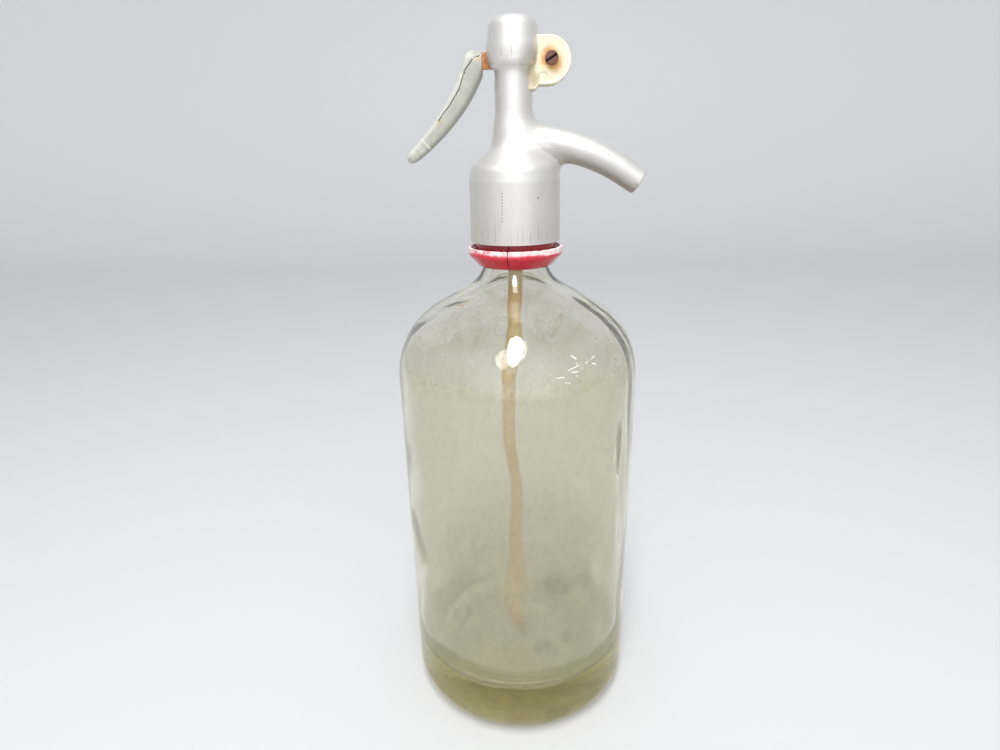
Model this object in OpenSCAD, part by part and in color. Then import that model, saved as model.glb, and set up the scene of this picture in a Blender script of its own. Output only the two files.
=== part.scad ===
// Soda siphon: a glass bottle, a split collar, and a cast head with its lever valve and spout.
// Millimetres, +Z up. The origin is the centre of the base, where the bottle stands.
// The front is -Y, the lever hangs on the -X side and the spout reaches out on the +X side.

/* [Bottle] */
// Outside diameter of the body
bottle_d = 103; // [96:0.5:108]
// Height at which the shoulder starts to round in
shoulder_z = 160; // [130:1:175]
// Radius that the shoulder is rounded with
shoulder_arc = 33; // [28:0.5:36]
// Slope of the shoulder above the round, in degrees from the horizontal
shoulder_slope = 30; // [27:0.5:33]
// Outside diameter of the neck
neck_d = 25.2; // [24.8:0.1:25.8]
// Radius between the shoulder and the neck
neck_fillet = 14; // [10:0.5:15]
// Height of the neck, from where the shoulder's slope would meet it up to the rim
neck_len = 28.5; // [27:0.5:33]
// Diameter of the bead round the mouth
bead_d = 29.2; // [28.4:0.1:29.6]
// Height of the bead
bead_h = 6.5; // [5:0.25:8]
// Thickness of the glass in the body
wall = 4.5; // [3.5:0.1:5.5]
// Inside diameter of the neck
mouth_d = 18; // [17.6:0.1:18.6]
// Thickness of the base at its edge
base_t = 16.5; // [12:0.5:20]
// Radius of the base's outer corner
base_corner = 13; // [9:0.5:14]
// Radius of the corner between the inner floor and the wall
floor_corner = 15; // [8:0.5:20]
// Diameter of the hollow under the base
punt_d = 72; // [60:1:74]
// Height of the hollow under the base
punt_h = 4; // [2:0.5:6]

/* [Collar] */
// Diameter of the collar's lip
lip_d = 38.7; // [38:0.1:40]
// Height of the collar's bowl, from its foot to the lip
bowl_h = 7.9; // [7:0.1:9]
// Diameter of the foot, where the bowl starts
foot_d = 29.8; // [29:0.1:31]
// Thickness of the lip
lip_t = 1; // [0.8:0.1:1.4]
// Depth of the dish inside the lip
dish_h = 1.3; // [0.8:0.1:2]
// Outside diameter of the threaded sleeve
thread_d = 32.2; // [31.8:0.1:32.6]
// Gap between the two halves
split_gap = 0.4; // [0.2:0.1:1]
// How far the split is turned away from the front, in degrees
split_turn = 9.5; // [0:0.5:20]

/* [Head] */
// Thickness of the skirt's wall at its lower edge, round the collar's threaded sleeve
skirt_wall = 1.95; // [1.7:0.05:2.7]
// How far the skirt reaches below its ceiling
skirt_depth = 18.9; // [18:0.1:20]
// How much narrower the skirt is at its upper edge
skirt_draft = 0.4; // [0.2:0.1:0.8]
// Height of the skirt
skirt_h = 23.3; // [22:0.1:26]
// Open gap between the skirt and the collar's lip
skirt_gap = 2.2; // [1:0.1:3]
// Height from the skirt's edge to the corner of the cone above it
brow_h = 5.1; // [4:0.1:6]
// Height from the skirt's edge to where the cone would meet the column
cone_h = 14.4; // [13:0.1:16]
// Diameter of the column
column_d = 14.4; // [13.2:0.1:15]
// Height of the column, from the cone up to the ball
column_h = 25.4; // [25:0.1:27]
// Largest diameter of the ball
ball_d = 20.3; // [19.6:0.1:21]
// Height of the ball
ball_h = 17.9; // [17.4:0.1:19]
// Bore of the column
bore_d = 9.4; // [9.2:0.1:9.6]
// Radius between the ball and the column
ball_fillet = 2.4; // [1.5:0.1:3]
// Radius of the ball's top edge
ball_edge = 4.2; // [3:0.1:5]

/* [Spout] */
// Outside diameter of the spout at the column
spout_d = 12.4; // [11.6:0.1:12.8]
// Outside diameter of the spout at its tip
spout_tip_d = 10.5; // [10:0.1:11.5]
// Bore of the spout
spout_bore_d = 7; // [6:0.1:7.2]
// Height of the spout's axis above the skirt's edge, at the column's axis
spout_up = 16.4; // [16:0.1:17]
// Length of the straight stretch, from the column's axis
spout_root = 18.3; // [16:0.1:22]
// Slope of that stretch, in degrees below the horizontal
spout_slope = 11; // [8:0.5:13]
// Slope of the tip, in degrees below the horizontal
spout_tip_slope = 33.5; // [30:0.5:38]
// Radius of the bend
spout_bend = 70; // [60:1:80]
// Length of the straight tip
spout_tip = 7.6; // [6:0.1:9]
// Radius between the spout and the column
spout_fillet = 5; // [3:0.1:6]
// Rounding of the tip's rim
spout_rim = 0.9; // [0.4:0.1:1.2]

/* [Hinge] */
// Distance from the column's axis to the pivot
pivot_x = 14.2; // [13.8:0.1:15]
// Height of the pivot above the foot of the ball
pivot_up = 3.1; // [2.9:0.1:3.5]
// Thickness of the hinge block
block_t = 8.8; // [8.6:0.1:10]
// Diameter of its round end
block_d = 16.8; // [16.4:0.1:18]
// How far the round end's centre lies inside the pivot
block_in = 1.05; // [0.5:0.05:1.5]
// How far that centre lies below the pivot
block_drop = 0.55; // [0:0.05:1]
// How far the block's tail reaches down the column, below its round end
tail_h = 1.6; // [1:0.1:2]
// Diameter of the pivot screw
screw_d = 3.9; // [3.6:0.1:4.2]
// Diameter of the screw's head
screw_head_d = 4.9; // [4.7:0.1:6]
// Height of the screw's head
screw_head_h = 1.5; // [1.2:0.1:2]
// Turn of the screw's slot from the horizontal, in degrees
screw_turn = 30; // [0:1:90]
// Width of the pivot nut across its flats
nut_af = 6.6; // [6.2:0.1:7]
// Thickness of the pivot nut
nut_t = 1.8; // [1.6:0.1:2.3]

/* [Lever] */
// Height of the lever arm
arm_h = 5.7; // [5.3:0.1:6]
// Thickness of the lever arm
arm_t = 2.6; // [2.2:0.1:3]
// Diameter of the arm's eye
eye_d = 8.2; // [7.6:0.1:8.4]
// Pull-down of the lever, in degrees
lever_turn = 10; // [6:0.5:10]
// Height of the arm's tail inside the grip
tail_w = 3.6; // [3:0.1:4]
// Share of the grip that the arm's tail fills
tail_share = 0.62; // [0.5:0.01:0.7]
// Distance from the pivot to the top of the grip, along X
grip_from = 27.5; // [27.2:0.1:29]
// Height of the grip's top above the pivot
grip_up = 3.6; // [3.4:0.1:4]
// Distance from the pivot to the tip of the grip, along X
grip_reach = 56.1; // [52:0.1:60]
// Depth of the grip's tip below the pivot
grip_drop = 35.1; // [32:0.1:38]
// Slope of the grip at its top, in degrees
grip_top_slope = 77.5; // [74:0.5:80]
// Slope of the grip at its tip, in degrees
grip_tip_slope = 37.5; // [34:0.5:41]
// Width of the grip at its top, seen from the side
grip_w = 9.5; // [9.2:0.1:9.9]
// Width of the grip at its tip, seen from the side
grip_tip_w = 4.8; // [4.4:0.1:5.4]
// Thickness of the grip at its top
grip_t = 10.4; // [9:0.1:11]
// Thickness of the grip at its tip
grip_tip_t = 6.4; // [6:0.1:8]

/* [Valve] */
// Diameter of the valve spindle
spindle_d = 3; // [2.8:0.1:3.2]
// Diameter of the cap on the spindle
cap_d = 8.4; // [8:0.1:8.8]
// Thickness of the cap's flange
cap_t = 1.4; // [1.2:0.1:1.6]
// Diameter of the cap's dome, which the lever presses on
dome_d = 4.8; // [4.4:0.1:5.2]
// Play between the dome and the lever at rest
lever_play = 0.2; // [0.15:0.05:0.3]
// Diameter of the spring wire
wire_d = 0.9; // [0.8:0.05:1]
// Mean diameter of the spring
coil_d = 6.6; // [6.2:0.1:7]
// Turns of the spring
coils = 5; // [4:0.5:5]
// Diameter of the valve body's stem, in the column
stem_d = 9.2; // [9:0.1:9.3]
// Diameter of the valve body's threaded foot
body_d = 15; // [14.6:0.1:16]
// Height of that foot
body_h = 11; // [10.6:0.1:11.4]
// Diameter of the passage through the valve body
passage_d = 6.4; // [6:0.1:6.6]
// Diameter of the valve washer
washer_d = 10; // [9.6:0.1:10.4]
// Thickness of the valve washer
washer_t = 2.4; // [2:0.1:2.6]
// Thickness of the cup under the washer
cup_t = 1.2; // [1:0.1:1.4]
// Depth of the packing pocket
packing_h = 3; // [2.6:0.1:3.2]
// Diameter of the packing pocket
packing_d = 6.4; // [6.2:0.1:6.6]
// Thickness of the gland follower's flange
follower_t = 1.2; // [1:0.1:1.4]

/* [Dip tube] */
// Outside diameter of the dip tube
tube_d = 6.2; // [5.6:0.1:6.4]
// Bore of the dip tube
tube_bore_d = 4; // [3:0.1:4.4]
// Gap between the tube's end and the bottle's floor
tube_foot_gap = 3.5; // [2:0.5:8]
// Sideways bow of the tube
tube_bow = 2.7; // [0:0.1:4]
// Length of the tube that leads into its bow
bow_lead = 62; // [50:1:80]
// Diameter of the tube holder's sleeve
sleeve_d = 17.4; // [17:0.1:17.5]
// Depth of the tube holder below the rim
holder_h = 16; // [14:0.5:18]
// Diameter of the holder's flange
holder_flange_d = 27.6; // [27:0.1:28]
// Thickness of the holder's flange
holder_flange_t = 1.8; // [1.4:0.1:2.2]
// Thickness of the gasket on the glass
neck_gasket_t = 1.6; // [1.2:0.1:2]
// Thickness of the gasket under the head
head_gasket_t = 1; // [0.8:0.1:1.4]

/* [Hidden] */
$fn = 96;

// Clearances
fit = 0.05;          // running and sliding fits, on the radius
loose = 0.2;         // pieces that must not bind, on the radius
slot_gap = 0.3;      // each side of the lever arm
stop_gap = 0.2;      // between the arm and the slot's roof at rest
over = 1;            // how far a cut runs past the face that it opens

// Bottle
bottle_r = bottle_d / 2;
neck_r = neck_d / 2;
mouth_r = mouth_d / 2;
inner_r = bottle_r - wall;
slope_rise = tan(shoulder_slope);
shoulder_corner_z = shoulder_z + shoulder_arc * tan((90 - shoulder_slope) / 2);
neck_z = shoulder_corner_z + (bottle_r - neck_r) * slope_rise;
rim_z = neck_z + neck_len;
bead_z = rim_z - bead_h;
bead_chamfer = (bead_d - neck_d) / 2;
bead_arcs = [0.8, 1.4];                            // below and above the bead
punt_sphere = (punt_d * punt_d / 4 + punt_h * punt_h) / (2 * punt_h);

// Levels above the rim
holder_z = rim_z + neck_gasket_t;
head_gasket_z = holder_z + holder_flange_t;
ceiling_z = head_gasket_z + head_gasket_t;

// Head
skirt_rim = 0.5;                                   // rounding of the skirt's lower edge
brow_in = 0.4;                                     // how far the brow's corner lies inside the edge
brow_arc = 4.2;
column_arc = 8;                                    // between the cone and the column
ball_under = [0.5, 1.5, 2.6];                      // the ball's lower corner: in, up, radius
ball_waist = [6.6, 12];                            // its widest point: up, radius
ball_brow = [1.3, 0.5];                            // its upper corner: in, down
head_bore_d = thread_d + 2 * loose;
skirt_d = head_bore_d + 2 * skirt_wall;
sleeve_up = 0.5;                                   // from the collar's top to the rim
skirt_z = ceiling_z - skirt_depth;
edge_z = skirt_z + skirt_h;
edge_r = (skirt_d - skirt_draft) / 2;
brow_r = edge_r - brow_in;
cone_z = edge_z + cone_h;
ball_z = cone_z + column_h;
top_z = ball_z + ball_h;
column_r = column_d / 2;
ball_r = ball_d / 2;
bore_r = bore_d / 2;

// Collar
bowl_arc = 3;                                      // where the foot turns into the bowl
bowl_corner = [0.05, 3.1, 2.5];                    // under the lip: in, down, radius
lip_round = 0.4;
dish_round = 0.6;
lip_z = skirt_z - skirt_gap;
foot_z = lip_z - bowl_h;

// Spout
spout_z = edge_z + spout_up;
spout_r = spout_d / 2;
spout_bore_r = spout_bore_d / 2;
mouth_len = spout_tip;
bore_step = 0.3;

// Hinge and lever
pivot_z = ball_z + pivot_up;
arm_top = pivot_z + arm_h / 2;
arm_foot = pivot_z - arm_h / 2;
slot_w = arm_t + 2 * slot_gap;
arm_sweep = (pivot_x + ball_r) * tan(lever_turn);
slot_foot = arm_foot - arm_sweep - slot_gap;
slot_roof = arm_top + stop_gap;
block_x = pivot_x - block_in;
block_z = pivot_z - block_drop;
block_r = block_d / 2;
block_root = bore_r + loose;
block_base = block_z - block_r;                    // foot of the round end
block_foot = block_base - tail_h;
block_head = block_z + block_r;
window_w = block_t + 2 * fit;
nut_pocket_y = block_t / 2 - nut_t - loose;

// Valve stack, from the lever down
dome_z = arm_foot - lever_play - dome_d / 2;
cap_z = dome_z - cap_t;
travel = pivot_x * lever_turn * PI / 180;
seat_step = 0.8;                                   // how far the seat's rim stands out
seat_rim = 1.2;                                    // width of that rim
seat_up = 5.6;                                     // from the valve body's foot to the seat
body_washer_t = 0.8;
body_up = 12;                                      // from the skirt's ceiling to the body's seat
body_top = ceiling_z + body_up;
body_z = body_top - body_washer_t - body_h;
seat_z = body_z + seat_up;
port_d = 4.4;                                      // ports from the passage to the spout
port_down = 2.8;                                   // from the passage's top to their middle
passage_in = 1.8;
passage_top = spout_z + spout_bore_r - passage_in;
packing_up = 3.9;
packing_t = 2;                                     // height of the packing when it is squeezed
packing_z = passage_top + packing_up;
stem_top = packing_z + packing_h;
spring_z = stem_top + follower_t;
oring_up = 2.3;
oring_z = passage_top + oring_up;
oring_d = 1.16;
oring_squeeze = 0.02;
washer_z = seat_z - washer_t;
cup_z = washer_z - cup_t;
spindle_nut_t = 2.4;
spindle_nut_z = cup_z - spindle_nut_t;
spindle_proud = 0.6;                               // below its nut
spindle_foot = spindle_nut_z - spindle_proud;
collar_t = 1.3;
collar_d = 5.2;

// Tube holder and dip tube
holder_foot = rim_z - holder_h;
well_depth = 6;
well_z = rim_z - well_depth;
well_d = 12.6;
spigot_d = 13;
spigot_h = 6;
spigot_foot = holder_foot - spigot_h;
bush_d = 10;
bush_h = 3.6;
nut_skin = 1.6;
tube_nut_d = 16.4;
tube_top = well_z - loose;
tube_foot = base_t + tube_foot_gap;

// ---- Shapes that the parts share ----

function unit(v) = v / norm(v);
function xy(p) = [p[0], p[1]];
function at(pts, i) = xy(pts[(i + len(pts)) % len(pts)]);

// How the corner between its neighbours a and b turns: above 0 where a counter-clockwise outline bulges
function turn(a, p, b) = (p[0] - a[0]) * (b[1] - p[1]) - (p[1] - a[1]) * (b[0] - p[0]);
// Where the arc of radius r that rounds corner p starts and ends, and its centre
function arc_ends(a, p, b, r) = let (ua = unit(a - p), ub = unit(b - p),
    reach = r / tan(acos(ua * ub) / 2)) [p + ua * reach, p + ub * reach];
function arc_centre(a, p, b, r) = let (ua = unit(a - p), ub = unit(b - p))
    p + unit(ua + ub) * r / sin(acos(ua * ub) / 2);

// What rounding takes from corner p: outside the arc where it bulges, inside it where it is hollow
module corner(a, p, b, r) {
    ends = arc_ends(a, p, b, r);
    centre = arc_centre(a, p, b, r);
    if (turn(a, p, b) > 0)
        difference() {
            polygon([ends[0], p - unit(centre - p), ends[1]]);
            translate(centre) circle(r);
        }
    else
        intersection() {
            polygon([ends[0], p, ends[1], centre]);
            translate(centre) circle(r);
        }
}

// An outline with rounded corners. pts holds [x, y, radius], counter-clockwise
module rounded(pts) {
    last = len(pts) - 1;
    difference() {
        polygon([for (i = [0:last]) let (a = at(pts, i - 1), p = at(pts, i), b = at(pts, i + 1))
            each pts[i][2] > 0 && turn(a, p, b) < 0 ? arc_ends(a, p, b, pts[i][2]) : [p]]);
        for (i = [0:last])
            if (pts[i][2] > 0) corner(at(pts, i - 1), at(pts, i), at(pts, i + 1), pts[i][2]);
    }
}

// A ring or a disc between two heights
module ring(d_out, d_in, z, h) {
    translate([0, 0, z]) difference() {
        cylinder(h = h, d = d_out);
        if (d_in > 0) translate([0, 0, -over]) cylinder(h = h + 2 * over, d = d_in);
    }
}

// A skin over rings of points, closed by flat ends, or joined end to end where it is a loop
module loft(rings, loop = false) {
    n = len(rings[0]);
    m = len(rings);
    sides = [for (i = [0:m - (loop ? 1 : 2)]) for (j = [0:n - 1])
        let (a = i * n + j, b = i * n + (j + 1) % n, c = (a + n) % (m * n), d = (b + n) % (m * n))
        each [[a, c, d], [a, d, b]]];
    caps = loop ? [] : [[for (j = [0:n - 1]) j], [for (j = [n - 1:-1:0]) (m - 1) * n + j]];
    polyhedron([for (r = rings) each r], concat(sides, caps), convexity = 8);
}

// ---- Bottle ----

// Height of the shoulder's slope at radius r, with the surface moved out by grow
function slope_at(r, grow) = neck_z + (neck_r - r) * slope_rise + grow / cos(shoulder_slope);

// The bottle's outer outline, moved out by grow
module bottle_outline(grow = 0) {
    rounded([
        [0, -grow, 0],
        [bottle_r + grow, -grow, base_corner + grow],
        [bottle_r + grow, slope_at(bottle_r + grow, grow), shoulder_arc + grow],
        [neck_r + grow, slope_at(neck_r + grow, grow), neck_fillet - grow],
        [neck_r + grow, bead_z - bead_chamfer - grow, 0],
        [bead_d / 2 + grow, bead_z - grow, bead_arcs[0]],
        [bead_d / 2 + grow, rim_z + grow, bead_arcs[1]],
        [0, rim_z + grow, 0]]);
}

module bottle() {
    color([0.83, 0.84, 0.66, 0.45]) difference() {
        rotate_extrude() difference() {
            bottle_outline();
            rounded([
                [0, base_t, 0],
                [inner_r, base_t, floor_corner],
                [inner_r, slope_at(inner_r, -wall), shoulder_arc - wall],
                [mouth_r, slope_at(mouth_r, -wall), neck_fillet + wall],
                [mouth_r, rim_z + over, 0],
                [0, rim_z + over, 0]]);
        }
        translate([0, 0, punt_h - punt_sphere]) sphere(punt_sphere, $fn = 360);
    }
}

// ---- Collar ----

module collar_ring() {
    rotate_extrude() difference() {
        rounded([
            [mouth_r, foot_z, 0],
            [foot_d / 2, foot_z, bowl_arc],
            [lip_d / 2 - bowl_corner[0], lip_z - bowl_corner[1], bowl_corner[2]],
            [lip_d / 2, lip_z, lip_round],
            [lip_d / 2 - lip_t, lip_z, lip_round],
            [lip_d / 2 - 1.7 * lip_t, lip_z - dish_h, dish_round],
            [thread_d / 2, lip_z - dish_h, dish_round],
            [thread_d / 2, rim_z - sleeve_up, 0],
            [mouth_r, rim_z - sleeve_up, 0]]);
        bottle_outline(loose);
    }
}

module collar_half(side) {
    color([0.80, 0.10, 0.15]) intersection() {
        collar_ring();
        rotate([0, 0, -split_turn]) translate([side * (lip_d + split_gap) / 2, 0, rim_z])
            cube([lip_d, 2 * lip_d, 2 * rim_z], center = true);
    }
}

module collar_left() { collar_half(-1); }
module collar_right() { collar_half(1); }

// ---- Head ----

module head_outline() {
    rounded([
        [0, skirt_z, 0],
        [skirt_d / 2, skirt_z, skirt_rim],
        [edge_r, edge_z, 0],
        [brow_r, edge_z + brow_h, brow_arc],
        [column_r, cone_z, column_arc],
        [column_r, ball_z, ball_fillet],
        [ball_r - ball_under[0], ball_z + ball_under[1], ball_under[2]],
        [ball_r, ball_z + ball_waist[0], ball_waist[1]],
        [ball_r - ball_brow[0], top_z - ball_brow[1], ball_edge],
        [0, top_z, 0]]);
}

// Middle of the spout at distance s along it, and its slope there
bend_len = spout_bend * (spout_tip_slope - spout_slope) * PI / 180;
spout_len = spout_root + bend_len + spout_tip;
function spout_angle(s) = spout_slope
    + (spout_tip_slope - spout_slope) * min(1, max(0, (s - spout_root) / bend_len));
function spout_at(s) = let (
    root = min(s, spout_root),
    a = spout_angle(s),
    tip = max(0, s - spout_root - bend_len))
    [root * cos(spout_slope) + spout_bend * (sin(a) - sin(spout_slope)) + tip * cos(a), 0,
     spout_z - root * sin(spout_slope) - spout_bend * (cos(spout_slope) - cos(a)) - tip * sin(a)];

// How far a round of radius r has drawn in, at distance s from where it ends
function draw_in(s, r) = s >= r ? 0 : r - sqrt(r * r - (r - s) * (r - s));

// One ring of the spout. Its upper half is lifted where it nears the column, for the fillet there
function spout_ring(s, n) = let (
    a = spout_angle(s),
    c = spout_at(s),
    r = spout_r + (spout_tip_d - spout_d) / 2 * max(0, s - spout_root / 2)
        / (spout_len - spout_root / 2) - draw_in(spout_len - s, spout_rim))
    [for (j = [0:n - 1]) let (
        q = 360 * j / n,
        p = c + [0, r * cos(q), 0] + r * sin(q) * [sin(a), 0, cos(a)],
        past = max(0, norm(xy(p)) - column_r))
        p + [0, 0, max(0, sin(q)) * draw_in(past, spout_fillet)]];

spout_stations = concat([2, 3.2, 4, 4.6, 5.1, 5.5, 5.8, 6.1, 6.5, 7, 7.6, 8.4, 9.4, 10.6, 12.5, 15],
    [for (i = [0:11]) spout_root + bend_len * i / 11],
    [spout_len - spout_tip / 2, spout_len - spout_rim, spout_len - spout_rim * 0.5,
     spout_len - spout_rim * 0.15, spout_len]);

// The spout's bore: drilled from the column, cored round the bend, and reamed from the mouth. Each
// stretch is wider than the one before it, which runs on into it by lead
module spout_bore() {
    lead = 1;
    bend_r = spout_bore_r - bore_step;
    translate([0, 0, spout_z]) rotate([0, 90 + spout_slope, 0])
        cylinder(h = spout_root + lead, r = bend_r - bore_step);
    translate(spout_at(spout_root)) rotate([0, spout_slope, 0]) translate([0, 0, -spout_bend])
        rotate([90, 0, 0]) rotate([0, 0, 90])
        rotate_extrude(angle = -(spout_tip_slope - spout_slope + lead))
        translate([spout_bend, 0]) circle(bend_r);
    translate(spout_at(spout_len - mouth_len)) rotate([0, 90 + spout_tip_slope, 0])
        cylinder(h = mouth_len + over, r = spout_bore_r);
}

module head_casting() {
    color([0.80, 0.79, 0.77]) difference() {
        union() {
            rotate_extrude() head_outline();
            loft([for (s = spout_stations) spout_ring(s, 32)]);
        }
        translate([0, 0, skirt_z - over]) cylinder(h = ceiling_z - skirt_z + over, d = head_bore_d);
        translate([0, 0, skirt_z - over]) cylinder(h = body_top - skirt_z + over, d = body_d + 2 * fit);
        translate([0, 0, skirt_z]) cylinder(h = arm_foot - skirt_z, r = bore_r);
        spout_bore();
        // Slot for the lever arm, from the ball's left side to the hinge block
        translate([-ball_r - over, -slot_w / 2, slot_foot])
            cube([ball_r + over + block_root, slot_w, slot_roof - slot_foot]);
        // Window for the hinge block
        translate([block_root - fit, -window_w / 2, block_foot - fit])
            cube([ball_r, window_w, block_head - block_foot + 2 * fit]);
    }
}

// ---- Hinge block, screw and nut ----

// Side view of the hinge block: a round end, a square root, and a tail down the column
module block_outline() {
    root_w = block_x - block_root;
    intersection() {
        translate([block_x, block_z]) circle(block_r);
        translate([block_root, block_base]) square(block_d);
    }
    translate([block_root, block_base]) square([root_w, block_d]);
    difference() {
        translate([block_root, block_foot]) square([column_r + tail_h - block_root + 1, tail_h + 1]);
        translate([column_r + tail_h + 1, block_foot]) circle(tail_h);
    }
}

module block_plate() {
    translate([0, block_t / 2, 0]) rotate([90, 0, 0]) linear_extrude(block_t) block_outline();
}

module hinge_block() {
    pocket_r = eye_d / 2 + slot_gap;
    color([0.90, 0.86, 0.70]) difference() {
        block_plate();
        // Pocket for the arm's eye, open towards the ball
        rotate([90, 0, 0]) linear_extrude(slot_w, center = true) union() {
            translate([pivot_x, pivot_z]) circle(pocket_r);
            translate([block_root - over, slot_foot])
                square([pivot_x - block_root + over, slot_roof - slot_foot]);
        }
        translate([pivot_x, 0, pivot_z]) rotate([90, 0, 0])
            cylinder(h = block_t + 2 * over, d = screw_d + 2 * fit, center = true);
        translate([pivot_x, block_t / 2 + over, pivot_z]) rotate([90, 30, 0])
            cylinder(h = over + nut_t + loose, d = (nut_af + 2 * fit) / cos(30), $fn = 6);
    }
}

module pivot_screw() {
    slot = 0.75;
    color([0.33, 0.20, 0.19]) translate([pivot_x, -block_t / 2, pivot_z]) rotate([-90, 0, 0])
        difference() {
            union() {
                rotate_extrude() rounded([
                    [0, -screw_head_h, 0],
                    [screw_head_d / 2, -screw_head_h, 0.5],
                    [screw_head_d / 2, 0, 0],
                    [0, 0, 0]]);
                cylinder(h = block_t - loose, d = screw_d);
            }
            rotate([0, 0, -screw_turn])
                translate([-screw_head_d, -slot / 2, -screw_head_h - over])
                cube([2 * screw_head_d, slot, over + slot]);
        }
}

module pivot_nut() {
    color([0.40, 0.27, 0.22]) translate([pivot_x, nut_pocket_y + nut_t, pivot_z]) rotate([90, 0, 0])
        difference() {
            rotate([0, 0, 30]) cylinder(h = nut_t, d = nut_af / cos(30), $fn = 6);
            translate([0, 0, -over]) cylinder(h = nut_t + 2 * over, d = screw_d + fit);
        }
}

// ---- Lever ----

grip_0 = [pivot_x - grip_from, pivot_z + grip_up];
grip_3 = [pivot_x - grip_reach, pivot_z - grip_drop];
grip_lead = 12.5;                                  // how far each end's slope carries on
grip_run = 20.7;
grip_1 = grip_0 + grip_lead * [-cos(grip_top_slope), -sin(grip_top_slope)];
grip_2 = grip_3 + grip_run * [cos(grip_tip_slope), sin(grip_tip_slope)];

// Middle of the grip at t, from 0 at its top to 1 at its tip, and its direction there
function grip_at(t) = pow(1 - t, 3) * grip_0 + 3 * t * pow(1 - t, 2) * grip_1
    + 3 * t * t * (1 - t) * grip_2 + pow(t, 3) * grip_3;
function grip_dir(t) = unit(pow(1 - t, 2) * (grip_1 - grip_0)
    + 2 * t * (1 - t) * (grip_2 - grip_1) + t * t * (grip_3 - grip_2));
function grip_side(t) = let (d = grip_dir(t)) [-d[1], d[0]];
// The grip's ends are rounded over these shares of its length
top_round = 0.12;
tip_round = 0.06;
function grip_end(t) = t < top_round ? sqrt(1 - pow(1 - t / top_round, 2))
    : t > 1 - tip_round ? sqrt(max(0, 1 - pow((t - 1 + tip_round) / tip_round, 2))) : 1;
function grip_half(t, top, tip) = (top - (top - tip) * (0.3 * t + 0.7 * t * t)) / 2 * grip_end(t);

// A squared-off oval: sine and cosine raised to a power below 1, with their signs kept
function puffed(v) = sign(v) * pow(abs(v), 0.8);
function grip_ring(t, n) = let (
    c = grip_at(t),
    side = grip_side(t),
    w = max(0.05, grip_half(t, grip_w, grip_tip_w)),
    h = max(0.05, grip_half(t, grip_t, grip_tip_t)))
    [for (j = [0:n - 1]) let (q = 360 * j / n, m = c + side * w * puffed(cos(q)))
        [m[0], h * puffed(sin(q)), m[1]]];

grip_stations = concat([0, 0.004, 0.012, 0.03, 0.055, 0.085],
    [for (i = [0:15]) 0.12 + 0.82 * i / 15], [0.965, 0.982, 0.993, 0.998, 1]);

// The flat arm: its eye, its bar and its tail down the grip, moved out by grow
module arm_plate(grow = 0) {
    half = arm_h / 2 + grow;
    tail = tail_w / 2 + grow;
    tail_to = tail_share + grow / grip_reach;
    bend_x = grip_at(0.14)[0] - grow;
    thick = arm_t + 2 * grow;
    edge = [for (i = [0:9]) 0.1 + (tail_to - 0.1) * i / 9];
    rotate([90, 0, 0]) union() {
        translate([pivot_x, pivot_z, -thick / 2]) cylinder(h = thick, d = eye_d + 2 * grow);
        translate([bend_x, pivot_z - half, -thick / 2]) cube([pivot_x - bend_x, 2 * half, thick]);
        translate([0, 0, -thick / 2]) linear_extrude(thick) polygon(concat(
            [for (t = edge) grip_at(t) + tail * grip_side(t)],
            [for (i = [9:-1:0]) grip_at(edge[i]) - tail * grip_side(edge[i])]));
    }
}

module lever_arm() {
    color([0.62, 0.34, 0.18]) difference() {
        arm_plate();
        translate([pivot_x, 0, pivot_z]) rotate([90, 0, 0])
            cylinder(h = arm_t + 2 * over, d = screw_d + 2 * fit, center = true);
    }
}

module lever_grip() {
    face_x = pivot_x - grip_from + 1.7;
    color([0.72, 0.72, 0.69]) difference() {
        difference() {
            loft([for (t = grip_stations) grip_ring(t, 28)]);
            translate([face_x, -grip_t, pivot_z - arm_h]) cube([grip_t, 2 * grip_t, 3 * arm_h]);
        }
        arm_plate(fit);
    }
}

// ---- Valve ----

module spring_cap() {
    color([0.72, 0.60, 0.34]) difference() {
        union() {
            translate([0, 0, cap_z]) cylinder(h = cap_t, d = cap_d);
            translate([0, 0, dome_z]) sphere(d = dome_d);
        }
        translate([0, 0, cap_z - dome_d]) cylinder(h = dome_d + cap_t + 0.6, d = spindle_d + fit);
    }
}

// The wire follows a helix between the follower and the cap
module return_spring() {
    r = coil_d / 2;
    wire = wire_d / 2;
    foot = spring_z + wire;
    rise = cap_z - wire - foot;
    steps = 14 * coils;
    color([0.62, 0.62, 0.62]) loft([for (i = [0:steps]) let (
        a = 360 * coils * i / steps,
        out = [cos(a), sin(a), 0],
        c = r * out + [0, 0, foot + rise * i / steps])
        [for (j = [0:7]) c + wire * (cos(45 * j) * out + [0, 0, sin(45 * j)])]]);
}

module valve_spindle() {
    color([0.74, 0.62, 0.36]) union() {
        translate([0, 0, spindle_foot]) cylinder(h = cap_z + cap_t - spindle_foot, d = spindle_d);
        ring(collar_d, 0, seat_z, collar_t);
    }
}

module gland_follower() {
    color([0.72, 0.60, 0.34]) difference() {
        union() {
            ring(stem_d - 2 * fit, 0, stem_top, follower_t);
            ring(packing_d - 2 * fit, 0, packing_z + packing_t, packing_h - packing_t + fit);
        }
        translate([0, 0, packing_z]) cylinder(h = packing_h + follower_t + over, d = spindle_d + 4 * fit);
    }
}

module gland_packing() {
    color([0.16, 0.15, 0.14]) ring(packing_d - fit, spindle_d + 2 * fit, packing_z, packing_t);
}

module stem_oring() {
    color([0.10, 0.10, 0.10]) translate([0, 0, oring_z]) rotate_extrude()
        translate([bore_r - oring_d / 2 - oring_squeeze, 0]) circle(d = oring_d);
}

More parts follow.
